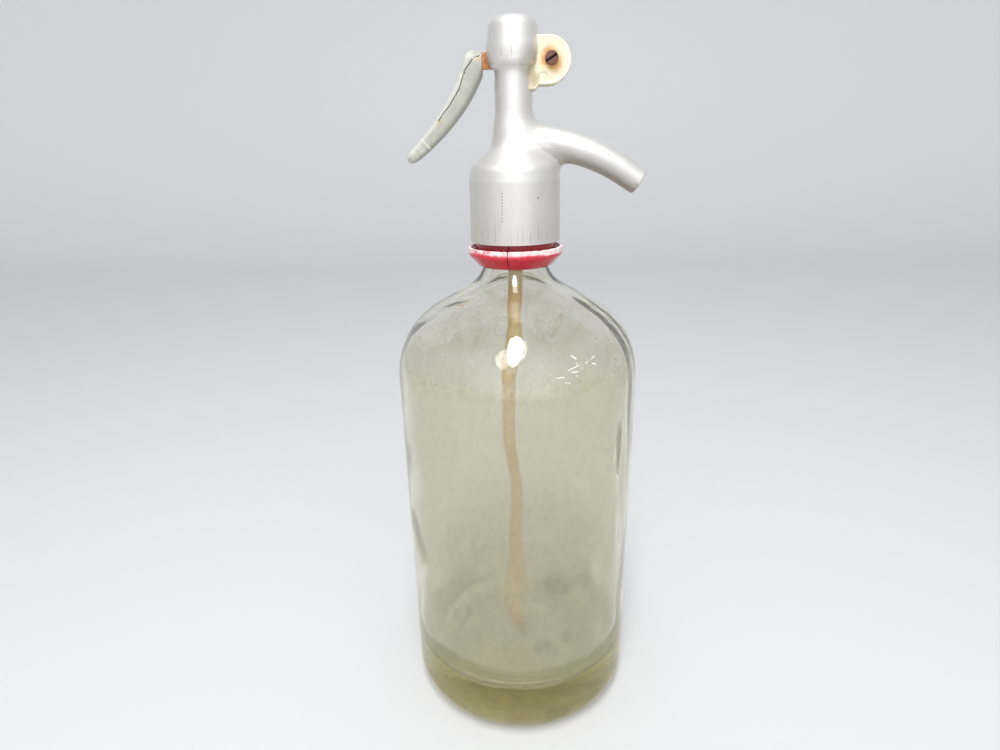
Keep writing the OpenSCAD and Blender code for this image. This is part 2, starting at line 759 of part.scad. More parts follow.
module valve_body() {
    foot_bore = washer_d + 2 * seat_rim;
    groove_d = bore_d - 2 * oring_d - 4 * oring_squeeze;
    color([0.70, 0.57, 0.32]) difference() {
        union() {
            ring(body_d, 0, body_z, body_h);
            ring(stem_d, 0, body_z + body_h, stem_top - body_z - body_h);
        }
        difference() {
            translate([0, 0, body_z - over])
                cylinder(h = seat_z + seat_step - body_z + over, d = foot_bore);
            ring(passage_d + 2 * seat_rim, passage_d, seat_z, 2 * seat_step);
        }
        translate([0, 0, body_z]) cylinder(h = passage_top - body_z, d = passage_d);
        translate([0, 0, body_z]) cylinder(h = stem_top - body_z, d = spindle_d + 2 * fit);
        translate([0, 0, packing_z]) cylinder(h = packing_h + over, d = packing_d);
        ring(stem_d + 2, groove_d, oring_z - oring_d / 2 - fit, oring_d + 2 * fit);
        for (a = [0, 90]) translate([0, 0, passage_top - port_down]) rotate([90, 0, a])
            cylinder(h = stem_d + 2 * over, d = port_d, center = true);
    }
}

module body_washer() {
    color([0.30, 0.12, 0.10]) ring(body_d - 2 * fit, stem_d + 4 * fit, body_top - body_washer_t, body_washer_t);
}

module valve_washer() {
    color([0.12, 0.12, 0.12]) ring(washer_d, spindle_d + fit, washer_z, washer_t);
}

module washer_cup() {
    color([0.74, 0.62, 0.36]) ring(washer_d, spindle_d + fit, cup_z, cup_t);
}

module spindle_nut() {
    color([0.74, 0.62, 0.36]) difference() {
        translate([0, 0, spindle_nut_z]) cylinder(h = spindle_nut_t, d = 6.35, $fn = 6);
        translate([0, 0, spindle_nut_z - over])
            cylinder(h = spindle_nut_t + 2 * over, d = spindle_d + fit);
    }
}

// ---- Tube holder, gaskets and dip tube ----

module head_gasket() {
    color([0.12, 0.12, 0.12])
        ring(holder_flange_d, body_d + 2, head_gasket_z, head_gasket_t);
}

module neck_gasket() {
    color([0.12, 0.12, 0.12]) ring(holder_flange_d, sleeve_d + 2 * loose, rim_z, neck_gasket_t);
}

module tube_holder() {
    color([0.85, 0.82, 0.72]) difference() {
        union() {
            ring(sleeve_d, 0, holder_foot, holder_z - holder_foot);
            ring(holder_flange_d, 0, holder_z, holder_flange_t);
            ring(spigot_d, 0, spigot_foot, spigot_h);
        }
        translate([0, 0, well_z]) cylinder(h = rim_z - well_z + 5 * over, d = well_d);
        translate([0, 0, spigot_foot]) cylinder(h = well_z - spigot_foot + over, d = tube_d + 2 * fit);
        translate([0, 0, spigot_foot - over]) cylinder(h = bush_h + over, d = bush_d + fit);
    }
}

module tube_bush() {
    color([0.15, 0.14, 0.13]) ring(bush_d, tube_d + fit, spigot_foot, bush_h - fit);
}

module tube_nut() {
    foot = spigot_foot - nut_skin;
    color([0.85, 0.82, 0.72]) difference() {
        ring(tube_nut_d, tube_d + 2 * fit, foot, spigot_h + nut_skin - loose);
        translate([0, 0, spigot_foot]) cylinder(h = spigot_h + over, d = spigot_d + 2 * fit);
        for (a = [0:30:330]) rotate([0, 0, a]) translate([tube_nut_d / 2 + 0.5, 0, foot - over])
            cylinder(h = spigot_h + nut_skin + 2 * over, d = 2, $fn = 24);
    }
}

// How far the tube's middle has bowed aside at height z
bow_top = spigot_foot - nut_skin;
bow_z = bow_top - bow_lead;
function tube_x(z) = z > bow_top ? 0 : z > bow_z
    ? -tube_bow / 2 * (1 - cos(180 * (bow_top - z) / bow_lead))
    : -tube_bow * (1 - 0.85 * pow((bow_z - z) / (bow_z - tube_foot), 2));
function tube_ring(z, d) = [for (j = [0:19]) [tube_x(z) + d / 2 * cos(18 * j), d / 2 * sin(18 * j), z]];

module dip_tube() {
    down = concat([tube_top, bow_top], [for (i = [1:8]) bow_top - bow_lead * i / 8],
        [for (i = [1:6]) bow_z + (tube_foot - bow_z) * i / 6]);
    last = len(down) - 1;
    color([0.80, 0.66, 0.40]) loft(concat(
        [for (z = down) tube_ring(z, tube_d)],
        [for (i = [last:-1:0]) tube_ring(down[i], tube_bore_d)]), loop = true);
}

bottle();
collar_left();
collar_right();
head_casting();
hinge_block();
pivot_screw();
pivot_nut();
lever_arm();
lever_grip();
spring_cap();
return_spring();
valve_spindle();
gland_follower();
gland_packing();
stem_oring();
valve_body();
body_washer();
valve_washer();
washer_cup();
spindle_nut();
head_gasket();
tube_holder();
neck_gasket();
tube_bush();
tube_nut();
dip_tube();
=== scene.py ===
# An old glass soda siphon: bottle, dip tube, red split collar, cast head with spout, hinge block and lever.
# Shapes are worked out in millimetres as whole numpy arrays and put into meshes in metres.
import math

import bmesh
import bpy
import numpy as np
from mathutils import Matrix


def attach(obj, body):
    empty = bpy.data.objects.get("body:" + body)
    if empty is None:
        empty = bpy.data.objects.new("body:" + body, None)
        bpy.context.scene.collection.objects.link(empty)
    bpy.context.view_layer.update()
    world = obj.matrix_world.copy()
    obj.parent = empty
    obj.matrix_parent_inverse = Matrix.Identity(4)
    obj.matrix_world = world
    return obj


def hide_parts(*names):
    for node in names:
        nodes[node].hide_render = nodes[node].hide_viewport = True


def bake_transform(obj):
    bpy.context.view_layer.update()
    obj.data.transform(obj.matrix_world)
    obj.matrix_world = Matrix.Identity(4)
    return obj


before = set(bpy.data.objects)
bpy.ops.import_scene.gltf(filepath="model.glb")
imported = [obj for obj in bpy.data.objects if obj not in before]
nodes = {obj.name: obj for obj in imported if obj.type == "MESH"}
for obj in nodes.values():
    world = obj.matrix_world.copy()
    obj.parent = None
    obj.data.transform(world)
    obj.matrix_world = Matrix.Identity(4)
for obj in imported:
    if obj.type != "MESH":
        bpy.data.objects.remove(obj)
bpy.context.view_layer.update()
mm = 0.001
weld = 2e-6      # points closer than this are one, in metres


# Shapes: helpers

def smooth(x, lo, hi):
    # 0 below lo, 1 above hi, an S-curve between; lo may be the larger
    t = np.clip((x - lo) / (hi - lo), 0, 1)
    return t * t * (3 - 2 * t)


def rounded(corners, steps=10):
    # A polyline whose corners (x, y, radius) become arcs tangent to both sides
    pts = [np.array(c[:2], float) for c in corners]
    out = []
    for i, p in enumerate(pts):
        radius = corners[i][2] if len(corners[i]) > 2 else 0
        if radius <= 0 or i in (0, len(pts) - 1):
            out.append(p)
            continue
        ua = (pts[i - 1] - p) / np.linalg.norm(pts[i - 1] - p)
        ub = (pts[i + 1] - p) / np.linalg.norm(pts[i + 1] - p)
        half = math.acos(float(np.clip(ua @ ub, -1, 1))) / 2
        centre = p + (ua + ub) / np.linalg.norm(ua + ub) * radius / math.sin(half)
        start, end = p + ua * radius / math.tan(half) - centre, p + ub * radius / math.tan(half) - centre
        a0, a1 = math.atan2(start[1], start[0]), math.atan2(end[1], end[0])
        a = a0 + ((a1 - a0 + math.pi) % (2 * math.pi) - math.pi) * np.linspace(0, 1, steps + 1)
        out.extend(centre + radius * np.stack([np.cos(a), np.sin(a)], -1))
    return np.array(out)


def evenly(line, step):
    # The same polyline with points added, so that none are further apart than step
    run = np.concatenate([[0], np.cumsum(np.linalg.norm(np.diff(line, axis=0), axis=1))])
    keep = np.concatenate([[True], np.diff(run) > 1e-6])
    line, run = line[keep], run[keep]
    at = np.concatenate([np.linspace(a, b, max(1, math.ceil((b - a) / step)), endpoint=False)
                         for a, b in zip(run[:-1], run[1:])] + [run[-1:]])
    return np.stack([np.interp(at, run, line[:, k]) for k in range(line.shape[1])], -1)


def profileNormals(line):
    # Right-hand normals of a polyline in the (radius, height) plane, averaged at its points
    side = np.gradient(line, axis=0)
    side /= np.linalg.norm(side, axis=1, keepdims=True) + 1e-12
    return np.stack([side[:, 1], -side[:, 0]], -1)


def waves(pts, size, seed, count=9):
    # A smooth random field: a sum of sine waves of about that length, in seeded directions
    rng = np.random.default_rng(seed)
    way = rng.normal(size=(count, 3))
    way /= np.linalg.norm(way, axis=1, keepdims=True)
    way *= (2 * math.pi / (size * rng.uniform(0.7, 1.7, count)))[:, None]
    return np.sin(pts @ way.T + rng.uniform(0, 2 * math.pi, count)).sum(-1) / math.sqrt(count)


def gridFaces(rows, cols, wrapRows=False, wrapCols=True):
    # Quads of a grid whose point (i, j) is number i * cols + j
    i = np.arange(rows if wrapRows else rows - 1)[:, None]
    j = np.arange(cols if wrapCols else cols - 1)[None, :]
    right, up = (j + 1) % cols, (i + 1) % rows
    return np.stack([i * cols + j, i * cols + right, up * cols + right, up * cols + j], -1).reshape(-1, 4)


def fullTurn(count):
    # Angles all round, the last a step short of the first
    return np.linspace(0, 2 * math.pi, count, endpoint=False)


def revolve(line, cols):
    # A profile (radius, height) turned about the Z axis: (r cos a, r sin a, z)
    a = fullTurn(cols)
    return np.stack([line[:, :1] * np.cos(a), line[:, :1] * np.sin(a),
                     np.repeat(line[:, 1:2], cols, 1)], -1)


def reworked(mesh, act):
    # Runs act on the mesh's bmesh and writes it back
    work = bmesh.new()
    work.from_mesh(mesh)
    found = act(work)
    work.to_mesh(mesh)
    work.free()
    return found


def shadePiece(mesh, sharp):
    mesh.shade_smooth()
    mesh.set_sharp_from_angle(angle=math.radians(sharp))


def placed(name, data):
    # An object at the origin, linked to the scene
    made = bpy.data.objects.new(name, data)
    bpy.context.scene.collection.objects.link(made)
    return made


def closeUp(work):
    # Merges doubles, turns the faces outwards and counts the edges left open
    bmesh.ops.remove_doubles(work, verts=work.verts, dist=weld)
    if work.calc_volume(signed=True) < 0:
        bmesh.ops.reverse_faces(work, faces=work.faces)
    return sum(1 for e in work.edges if not e.is_manifold)


def makePiece(name, body, finish, pts, faces, replaces=(), sharp=38, marks=None):
    # Mesh object from points in mm; doubles at poles and seams are merged, and it faces outwards
    mesh = bpy.data.meshes.new(name)
    mesh.from_pydata((np.asarray(pts, float).reshape(-1, 3) * mm).tolist(), [],
                     [list(map(int, f)) for f in faces])
    for mark, values in (marks or {}).items():
        place = mesh.attributes.new(mark, "FLOAT", "POINT")
        place.data.foreach_set("value", np.ravel(values).astype(np.float32))
    openEdges = reworked(mesh, closeUp)
    mesh.materials.append(finish)
    shadePiece(mesh, sharp)
    piece = placed(name, mesh)
    if body:
        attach(piece, body)
    if replaces:
        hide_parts(*replaces)
    print(f"{name}: {len(mesh.polygons)} faces, {openEdges} open edges")
    return piece


def prism(outline, y0, y1):
    # A closed block: an outline in (x, z), counter-clockwise, carried from y0 to y1
    n = len(outline)
    ring = [np.column_stack([outline[:, 0], np.full(n, y), outline[:, 1]]) for y in (y0, y1)]
    j = np.arange(n)
    sides = np.stack([j, (j + 1) % n, n + (j + 1) % n, n + j], -1).tolist()
    return np.concatenate(ring), sides + [list(range(n - 1, -1, -1)), list(range(n, 2 * n))]


def cutAway(piece, pts, faces, sharp=38):
    # Takes a closed block out of a piece and applies the cut
    mesh = bpy.data.meshes.new("cutter")
    mesh.from_pydata((pts * mm).tolist(), [], faces)
    reworked(mesh, lambda work: bmesh.ops.recalc_face_normals(work, faces=work.faces))
    cutter = placed("cutter", mesh)
    cut = piece.modifiers.new("cut", "BOOLEAN")
    cut.operation, cut.solver, cut.object = "DIFFERENCE", "EXACT", cutter
    made = bpy.data.meshes.new_from_object(piece.evaluated_get(bpy.context.evaluated_depsgraph_get()))
    piece.modifiers.clear()
    old, piece.data = piece.data, made
    made.name = piece.name
    bpy.data.meshes.remove(old)
    bpy.data.objects.remove(cutter)
    shadePiece(made, sharp)


# Finishes: helpers. Object coordinates are in metres, so sizes in mm are turned into scales

class Finish:
    def __init__(self, name):
        self.made = bpy.data.materials.new(name)
        self.made.use_nodes = True
        self.tree = self.made.node_tree
        self.tree.nodes.clear()
        self.out = self.add("OutputMaterial")
        self.shader = self.add("BsdfPrincipled")
        self.join(self.shader.outputs[0], self.out.inputs["Surface"])
        self.place = self.add("TexCoord").outputs["Object"]

    def add(self, kind, **values):
        node = self.tree.nodes.new("ShaderNode" + kind)
        for key, value in values.items():
            setattr(node, key, value)
        return node

    def join(self, start, end):
        self.tree.links.new(start, end)

    def feed(self, socket, value):
        # A socket is joined, anything else is set
        if isinstance(value, bpy.types.NodeSocket):
            self.join(value, socket)
        elif socket.type == "RGBA":
            socket.default_value = (*value, 1)
        else:
            socket.default_value = value

    def set(self, **values):
        # Principled inputs, with spaces written as underscores
        for key, value in values.items():
            self.feed(self.shader.inputs[key.replace("_", " ")], value)

    def sums(self, how, a, b=0.0, clamp=False):
        node = self.add("Math", operation=how, use_clamp=clamp)
        self.feed(node.inputs[0], a)
        self.feed(node.inputs[1], b)
        return node.outputs[0]

    def times(self, a, b, clamp=False):
        return self.sums("MULTIPLY", a, b, clamp)

    def plus(self, a, b, clamp=False):
        return self.sums("ADD", a, b, clamp)

    def around(self, value, reach):
        # A field from 0 to 1 turned into one about 0, reach wide
        return self.times(self.sums("SUBTRACT", value, 0.5), reach)

    def vector(self, how, a, b=None, out=0, scale=None):
        node = self.add("VectorMath", operation=how)
        self.feed(node.inputs[0], a)
        if b is not None:
            self.feed(node.inputs[1], b)
        if scale is not None:
            self.feed(node.inputs["Scale"], scale)
        return node.outputs[out]

    def part(self, axis, place=None):
        node = self.add("SeparateXYZ")
        self.join(place or self.place, node.inputs[0])
        return node.outputs[axis]

    def mark(self, name):
        return self.add("Attribute", attribute_name=name).outputs["Fac"]

    def stretched(self, scale, place=None):
        node = self.add("Mapping")
        self.join(place or self.place, node.inputs[0])
        node.inputs["Scale"].default_value = scale
        return node.outputs[0]

    def noise(self, size, detail=4.0, rough=0.55, seed=0.0, place=None, distort=0.0):
        # Cloudy noise whose lumps are about size mm across
        node = self.add("TexNoise", noise_dimensions="4D")
        self.join(place or self.place, node.inputs["Vector"])
        for key, value in (("W", seed), ("Scale", 1 / (size * mm)), ("Detail", detail),
                           ("Roughness", rough), ("Distortion", distort)):
            node.inputs[key].default_value = value
        return node.outputs["Fac"]

    def dots(self, spacing, radius, share, seed=0.0):
        # Round specks: a share of the cells of a loose grid carries one
        node = self.add("TexVoronoi", voronoi_dimensions="4D", feature="F1")
        self.join(self.place, node.inputs["Vector"])
        node.inputs["Scale"].default_value = 1 / (spacing * mm)
        node.inputs["W"].default_value = seed
        near = self.between(node.outputs["Distance"], radius / spacing, radius / spacing * 0.5)
        pick = self.between(self.part(0, node.outputs["Color"]), share, share - 0.01)
        return self.times(near, pick)

    def between(self, value, lo, hi, low=0.0, high=1.0):
        # low at lo, high at hi, an S-curve between
        node = self.add("MapRange", interpolation_type="SMOOTHSTEP")
        self.feed(node.inputs["Value"], value)
        for key, number in (("From Min", lo), ("From Max", hi), ("To Min", low), ("To Max", high)):
            node.inputs[key].default_value = number
        return node.outputs[0]

    def spread(self, value, low, high):
        # The middle of a noise's range carried over to low and high
        return self.between(value, 0.3, 0.7, low, high)

    def mix(self, share, a, b):
        node = self.add("Mix", data_type="RGBA", blend_type="MIX")
        self.feed(node.inputs["Factor"], share)
        self.feed(node.inputs[6], a)
        self.feed(node.inputs[7], b)
        return node.outputs[2]

    def coats(self, colour, *rows):
        # Colours laid over each other, each with its share
        for share, coat in rows:
            colour = self.mix(share, colour, coat)
        return colour

    def ramp(self, value, *stops):
        # Colours at positions from 0 to 1
        node = self.add("ValToRGB")
        self.feed(node.inputs[0], value)
        band = node.color_ramp
        while len(band.elements) < len(stops):
            band.elements.new(0.5)
        for element, (position, colour) in zip(band.elements, stops):
            element.position, element.color = position, (*colour, 1)
        return node.outputs[0]

    def spot(self, centre, radius, soft=0.5, jitter=None):
        # 1 within radius mm of a point, fading out over soft mm; jitter is a field that frays its edge
        far = self.vector("DISTANCE", self.place, tuple(c * mm for c in centre), out="Value")
        if jitter is not None:
            far = self.plus(far, jitter)
        return self.between(far, (radius + soft) * mm, radius * mm)

    def stroke(self, a, b, width, place=None):
        # 1 on the straight line from a to b, 0 at width mm from it: distance to the nearest point of the line
        a, b = np.array(a) * mm, np.array(b) * mm
        along = b - a
        off = self.vector("SUBTRACT", place or self.place, tuple(a))
        reach = self.vector("DOT_PRODUCT", off, tuple(along / (along @ along)), out="Value")
        share = self.times(reach, 1.0, True)
        foot = self.vector("SCALE", tuple(along), scale=share)
        far = self.vector("DISTANCE", off, foot, out="Value")
        return self.between(far, width * mm, width * 0.3 * mm)

    def most(self, fields):
        found = fields[0]
        for field in fields[1:]:
            found = self.sums("MAXIMUM", found, field)
        return found

    def bump(self, height, depth, under=None):
        # Relief: height 0 to 1 stands for depth mm
        node = self.add("Bump")
        node.inputs["Distance"].default_value = depth * mm
        self.feed(node.inputs["Height"], height)
        if under is not None:
            self.join(under, node.inputs["Normal"])
        return node.outputs[0]


# Camera, light and stage

view = {"lens": 22.03, "place": (0, -255.8, 248.6), "pitch": 19.8, "roll": -1.27, "yaw": -1.68}
light = {"key": {"aim": (0, -45, 175), "way": (-0.033, -0.44, 0.87), "distance": 900,
                 "width": 0.17, "height": 0.72, "watts": 7.2},
         "sky": (0.95, 0.97, 1.0), "skyStrength": 0.55, "frontStrength": 1.45, "frontWay": (0.04, -0.96, 0.28)}
floor = {"colour": (0.74, 0.745, 0.75), "front": -2600, "back": 1900, "curve": 700, "height": 2600, "side": 3200.0}


def makeCamera():
    # Turned so that -Z looks along forward and Y is up in the picture
    pitch, roll, yaw = (math.radians(view[k]) for k in ("pitch", "roll", "yaw"))
    right = np.array([math.cos(yaw), -math.sin(yaw), 0])
    forward = np.array([math.sin(yaw) * math.cos(pitch), math.cos(yaw) * math.cos(pitch), -math.sin(pitch)])
    up = np.cross(right, forward)
    across = math.cos(roll) * right + math.sin(roll) * up
    above = math.cos(roll) * up - math.sin(roll) * right
    camera = placed("camera", bpy.data.cameras.new("camera"))
    turned = Matrix([list(row) for row in np.stack([across, above, -forward], -1)]).to_4x4()
    turned.translation = [c * mm for c in view["place"]]
    camera.matrix_world = turned
    camera.data.lens = view["lens"]
    camera.data.sensor_width = 36
    camera.data.clip_start = 0.01
    bpy.context.scene.camera = camera


def makeLight():
    # An ellipse that faces what it aims at, its width level
    values = light["key"]
    lamp = bpy.data.lights.new("key", "AREA")
    lamp.shape, lamp.size, lamp.size_y, lamp.energy = "ELLIPSE", values["width"], values["height"], values["watts"]
    holder = placed("key", lamp)
    away = np.array(values["way"]) / np.linalg.norm(values["way"])
    side = np.cross([0, 0, 1], away)
    side /= np.linalg.norm(side)
    turned = Matrix([list(row) for row in np.stack([side, np.cross(away, side), away], -1)]).to_4x4()
    turned.translation = (np.array(values["aim"]) + values["distance"] * away) * mm
    holder.matrix_world = turned


def makeStage():
    # Floor that curves up into a backdrop: a profile in (y, z) carried along x
    line = rounded([(floor["front"], 0), (floor["back"], 0, floor["curve"]), (floor["back"], floor["height"])], 16)
    x = np.array([-floor["side"], floor["side"]])
    pts = np.stack([np.repeat(x[None], len(line), 0), np.repeat(line[:, :1], 2, 1),
                    np.repeat(line[:, 1:], 2, 1)], -1)
    mesh = bpy.data.meshes.new("stage")
    mesh.from_pydata((pts.reshape(-1, 3) * mm).tolist(), [], gridFaces(len(line), 2, False, False).tolist())
    paper = Finish("paper")
    paper.set(Base_Color=floor["colour"], Roughness=0.9, Specular_IOR_Level=0.1)
    mesh.materials.append(paper.made)
    mesh.shade_smooth()
    stage = placed("stage", mesh)


def makeWorld():
    # An even sky with one broad soft glow from the front
    world = bpy.data.worlds.new("studio")
    bpy.context.scene.world = world
    world.use_nodes = True
    tree = world.node_tree
    back = tree.nodes["Background"]
    back.inputs["Color"].default_value = (*light["sky"], 1)
    way, facing, glow = (tree.nodes.new("ShaderNode" + kind) for kind in ("TexCoord", "VectorMath", "MapRange"))
    facing.operation = "DOT_PRODUCT"
    facing.inputs[1].default_value = light["frontWay"]
    glow.interpolation_type = "SMOOTHSTEP"
    for key, value in (("From Min", 0.55), ("From Max", 1.0), ("To Min", light["skyStrength"]),
                       ("To Max", light["frontStrength"])):
        glow.inputs[key].default_value = value
    tree.links.new(way.outputs["Generated"], facing.inputs[0])
    tree.links.new(facing.outputs["Value"], glow.inputs["Value"])
    tree.links.new(glow.outputs[0], back.inputs["Strength"])


bpy.context.scene.view_settings.view_transform = "Standard"
makeCamera()
makeWorld()
makeStage()
makeLight()
print("camera, light and stage made")


# Bottle: one closed revolved shell, clear outside and cloudy inside

bottle = {"columns": 232, "step": 1.5, "puntRadius": 36, "puntRound": 164, "puntHeight": 4,
          "outer": [(36, 0), (51.5, 0, 13), (51.5, 179.05, 33), (12.6, 201.51, 14), (12.6, 221.51),
                    (14.6, 223.51, 0.8), (14.6, 230.01, 1.4)],
          "inner": [(9, 230.01, 0.7), (9, 198.39, 18.5), (47, 176.45, 28.5), (47, 17.5, 22), (0, 17.5)],
          "outerRipple": 0.09, "innerRipple": 0.3,
          "glassTint": (0.84, 0.77, 0.15), "glassDensity": 17.0,
          "filmTop": (0.80, 0.80, 0.77), "filmLow": (0.70, 0.61, 0.35), "filmOlive": (0.64, 0.55, 0.20),
          "filmEdge": 171, "filmAbove": 0.10, "filmBelow": 0.38,
          # from, to and width
          "scratches": [
              ((20.2, -41.1, 178.5), (21.7, -41.1, 177.4), 0.40), ((25.5, -40.4, 175.1), (29.2, -36.7, 176.7), 0.26),
              ((28.1, -38.8, 174.8), (29.4, -38.3, 174.1), 0.38), ((18.7, -44.6, 173.9), (23.3, -41.7, 175.1), 0.26),
              ((23.6, -42.1, 174.1), (24.2, -42.1, 173.6), 0.33), ((20.2, -44.4, 173.2), (23.0, -43.2, 172.7), 0.35),
              ((21.9, -41.9, 176.1), (22.1, -42.1, 175.5), 0.29), ((14.5, -47.1, 171.8), (17.1, -46.2, 171.9), 0.29),
              ((21.7, -44.3, 171.7), (22.0, -44.2, 171.5), 0.30), ((17.8, -46.7, 169.9), (18.0, -46.6, 169.8), 0.30),
              ((19.0, -46.3, 169.8), (19.3, -46.1, 169.7), 0.30)],
          # where the film has come off, painted as dark opaque patches that stand in for the dark ground seen through
          # the bare glass: middle and radius
          "flakesPaintedDark": [((21.1, 28.7, 20.3), 4.6), ((17.2, 31.7, 20.6), 3.6), ((24.3, 26.1, 20.3), 3.6),
                     ((13.2, -13.2, 17.5), 4.6), ((10.2, -15.8, 17.5), 3.4), ((25.8, -6.8, 17.6), 3.6)],
          "lip": 9.9}


def oldGlass():
    # One finish for the whole shell, because Cycles only closes a volume that the same material opened.
    # Outside: scratches, specks and a frosted foot, whose pale yellow is painted light standing in for the light
    # through the thick base.
    # Inside: lime film, thin above a wavy tide line and yellower below it
    g = Finish("oldGlass")
    inner = g.mark("inner")
    outer = g.sums("SUBTRACT", 1.0, inner)
    height = g.part(2)

    broad = g.noise(22, 3, 0.5, 1.7)
    frayed = g.add("TexNoise", noise_dimensions="3D")
    g.join(g.place, frayed.inputs["Vector"])
    frayed.inputs["Scale"].default_value = 300
    bend = g.vector("SUBTRACT", frayed.outputs["Color"], (0.5, 0.5, 0.5))
    bent = g.vector("ADD", g.place, g.vector("SCALE", bend, scale=0.001))
    scratches = g.most([g.stroke(a, b, w, bent) for a, b, w in bottle["scratches"]])
    specks = g.most([g.dots(5.5, 0.22, 0.2, 2.0), g.dots(11, 0.36, 0.16, 5.0)])
    rust = g.spot((-21.9, -18.2, 192.4), 0.45, 0.9, g.around(g.noise(1.1, 5, 0.7, 8.0), 0.0022))
    # The foot's pale yellow frosting also paints in the light that comes through the thick base
    foot = g.times(g.between(height, 0.0055, 0.003), g.between(g.noise(9, 4, 0.5, 9.0), 0.3, 0.7, 0.55, 0.75))
    white = g.sums("MAXIMUM", scratches, g.times(specks, 0.7))
    marks = g.times(outer, g.most([white, rust, foot]))
    outside = g.coats((1, 1, 1), (foot, (0.94, 0.90, 0.62)), (white, (0.92, 0.93, 0.9)), (rust, (0.32, 0.17, 0.05)))

    clouds = g.noise(26, 5, 0.6, 2.0, distort=0.6)
    wisps = g.noise(8, 6, 0.66, 4.0, g.stretched((1, 1, 0.55)), 1.0)
    grain = g.noise(1.1, 5, 0.7, 6.0)
    tide = g.plus(height, g.around(clouds, 0.03))
    below = g.between(tide, (bottle["filmEdge"] + 5) * mm, (bottle["filmEdge"] - 9) * mm)
    deep = g.between(tide, 0.125, 0.03)
    belt = g.times(g.between(height, 0.156, 0.166), g.between(height, 0.190, 0.176))
    arcs = g.times(g.between(wisps, 0.46, 0.62), belt)
    frays = g.around(g.noise(3.2, 6, 0.75, 9.0), 0.014)
    flakesPaintedDark = g.most([g.spot(c, r, 0.9, frays) for c, r in bottle["flakesPaintedDark"]])
    film = g.times(g.between(wisps, 0.25, 0.75, 0.86, 1.14), g.spread(grain, 0.94, 1.06))
    film = g.times(film, g.plus(g.between(below, 0, 1, bottle["filmAbove"], bottle["filmBelow"]),
                                           g.times(deep, 0.08)))
    film = g.plus(film, g.times(arcs, 0.2))
    # The film is raised on the bare patches so that they show as opaque: painted seen-through dark
    film = g.sums("MAXIMUM", film, g.times(flakesPaintedDark, 0.9), True)
    film = g.times(film, inner)
    lime = g.mix(below, bottle["filmTop"], bottle["filmLow"])
    # The bare patches get a near-black colour, painted dark for the ground behind the glass
    lime = g.coats(lime, (g.times(deep, g.between(clouds, 0.36, 0.6)), bottle["filmOlive"]),
                   (g.between(wisps, 0.5, 0.75, 0, 0.3), (0.80, 0.76, 0.62)),
                   (g.times(flakesPaintedDark, 0.85), (0.12, 0.115, 0.08)))

    g.set(Base_Color=g.mix(inner, outside, g.mix(film, (0.985, 0.985, 0.97), lime)), IOR=1.5,
          Transmission_Weight=g.sums("SUBTRACT", g.sums("SUBTRACT", 1.0, g.times(marks, 0.85)), film, True),
          Roughness=g.plus(g.times(film, 0.14), g.plus(g.times(marks, 0.4), 0.015), True),
          Normal=g.bump(g.times(scratches, outer), -0.05, g.bump(broad, 0.13)))
    body = g.add("VolumeAbsorption")
    body.inputs["Color"].default_value = (*bottle["glassTint"], 1)
    body.inputs["Density"].default_value = bottle["glassDensity"]
    g.join(body.outputs[0], g.out.inputs["Volume"])
    return g.made


def makeBottle():
    line = rounded(bottle["outer"] + bottle["inner"], 14)
    r, big = np.linspace(0, bottle["puntRadius"], 15)[:-1], bottle["puntRound"]
    punt = np.stack([r, bottle["puntHeight"] - big + np.sqrt(big ** 2 - r ** 2)], -1)
    line = evenly(np.concatenate([punt, line]), bottle["step"])
    turnOver = int(np.argmax(line[:, 1] + (line[:, 0] < bottle["lip"]) * 0.001))
    across = profileNormals(line)
    pts = revolve(line, bottle["columns"])
    out = revolve(across, bottle["columns"])
    inner = (np.arange(len(line)) > turnOver)[:, None]
    z = pts[..., 2]
    outerFade = smooth(z, 4, 16) * smooth(z, 204, 190)
    far = np.hypot(pts[..., 0], pts[..., 1])
    innerFade = smooth(z, 16.4, 24) * smooth(z, 206, 190) * smooth(far, 8, 20)
    floorFade = smooth(z, 30, 18) * smooth(far, 46, 36) * inner
    inward = waves(pts, 34, 11) + 0.35 * waves(pts * (1, 1, 0.4), 11, 12)
    shift = np.where(inner, bottle["innerRipple"] * innerFade * inward,
                     -bottle["outerRipple"] * outerFade * (1.3 + waves(pts, 30, 13)))
    pts = pts + out * shift[..., None]
    pts[..., 2] += floorFade * 0.5 * waves(pts, 17, 14)
    faces = gridFaces(len(line), bottle["columns"])
    makePiece("bottleGlass", "root", oldGlass(), pts, faces, ["bottle"], 50, {"inner": inner + 0 * z})


makeBottle()


# Dip tube: a ring carried down a bowed path, with its bore

tube = {"radius": 3.1, "bore": 2.0, "top": 223.8, "foot": 20.0, "rows": 150, "columns": 40,
        # heights where the bow starts and where it is widest; how far it bows; how much of it is gone at the foot
        "bowTop": 206.41, "bowMid": 144.41, "bow": 2.7, "back": 0.85,
        "colour": (0.70, 0.49, 0.18), "pale": (0.78, 0.61, 0.33), "footColour": (0.66, 0.34, 0.10)}


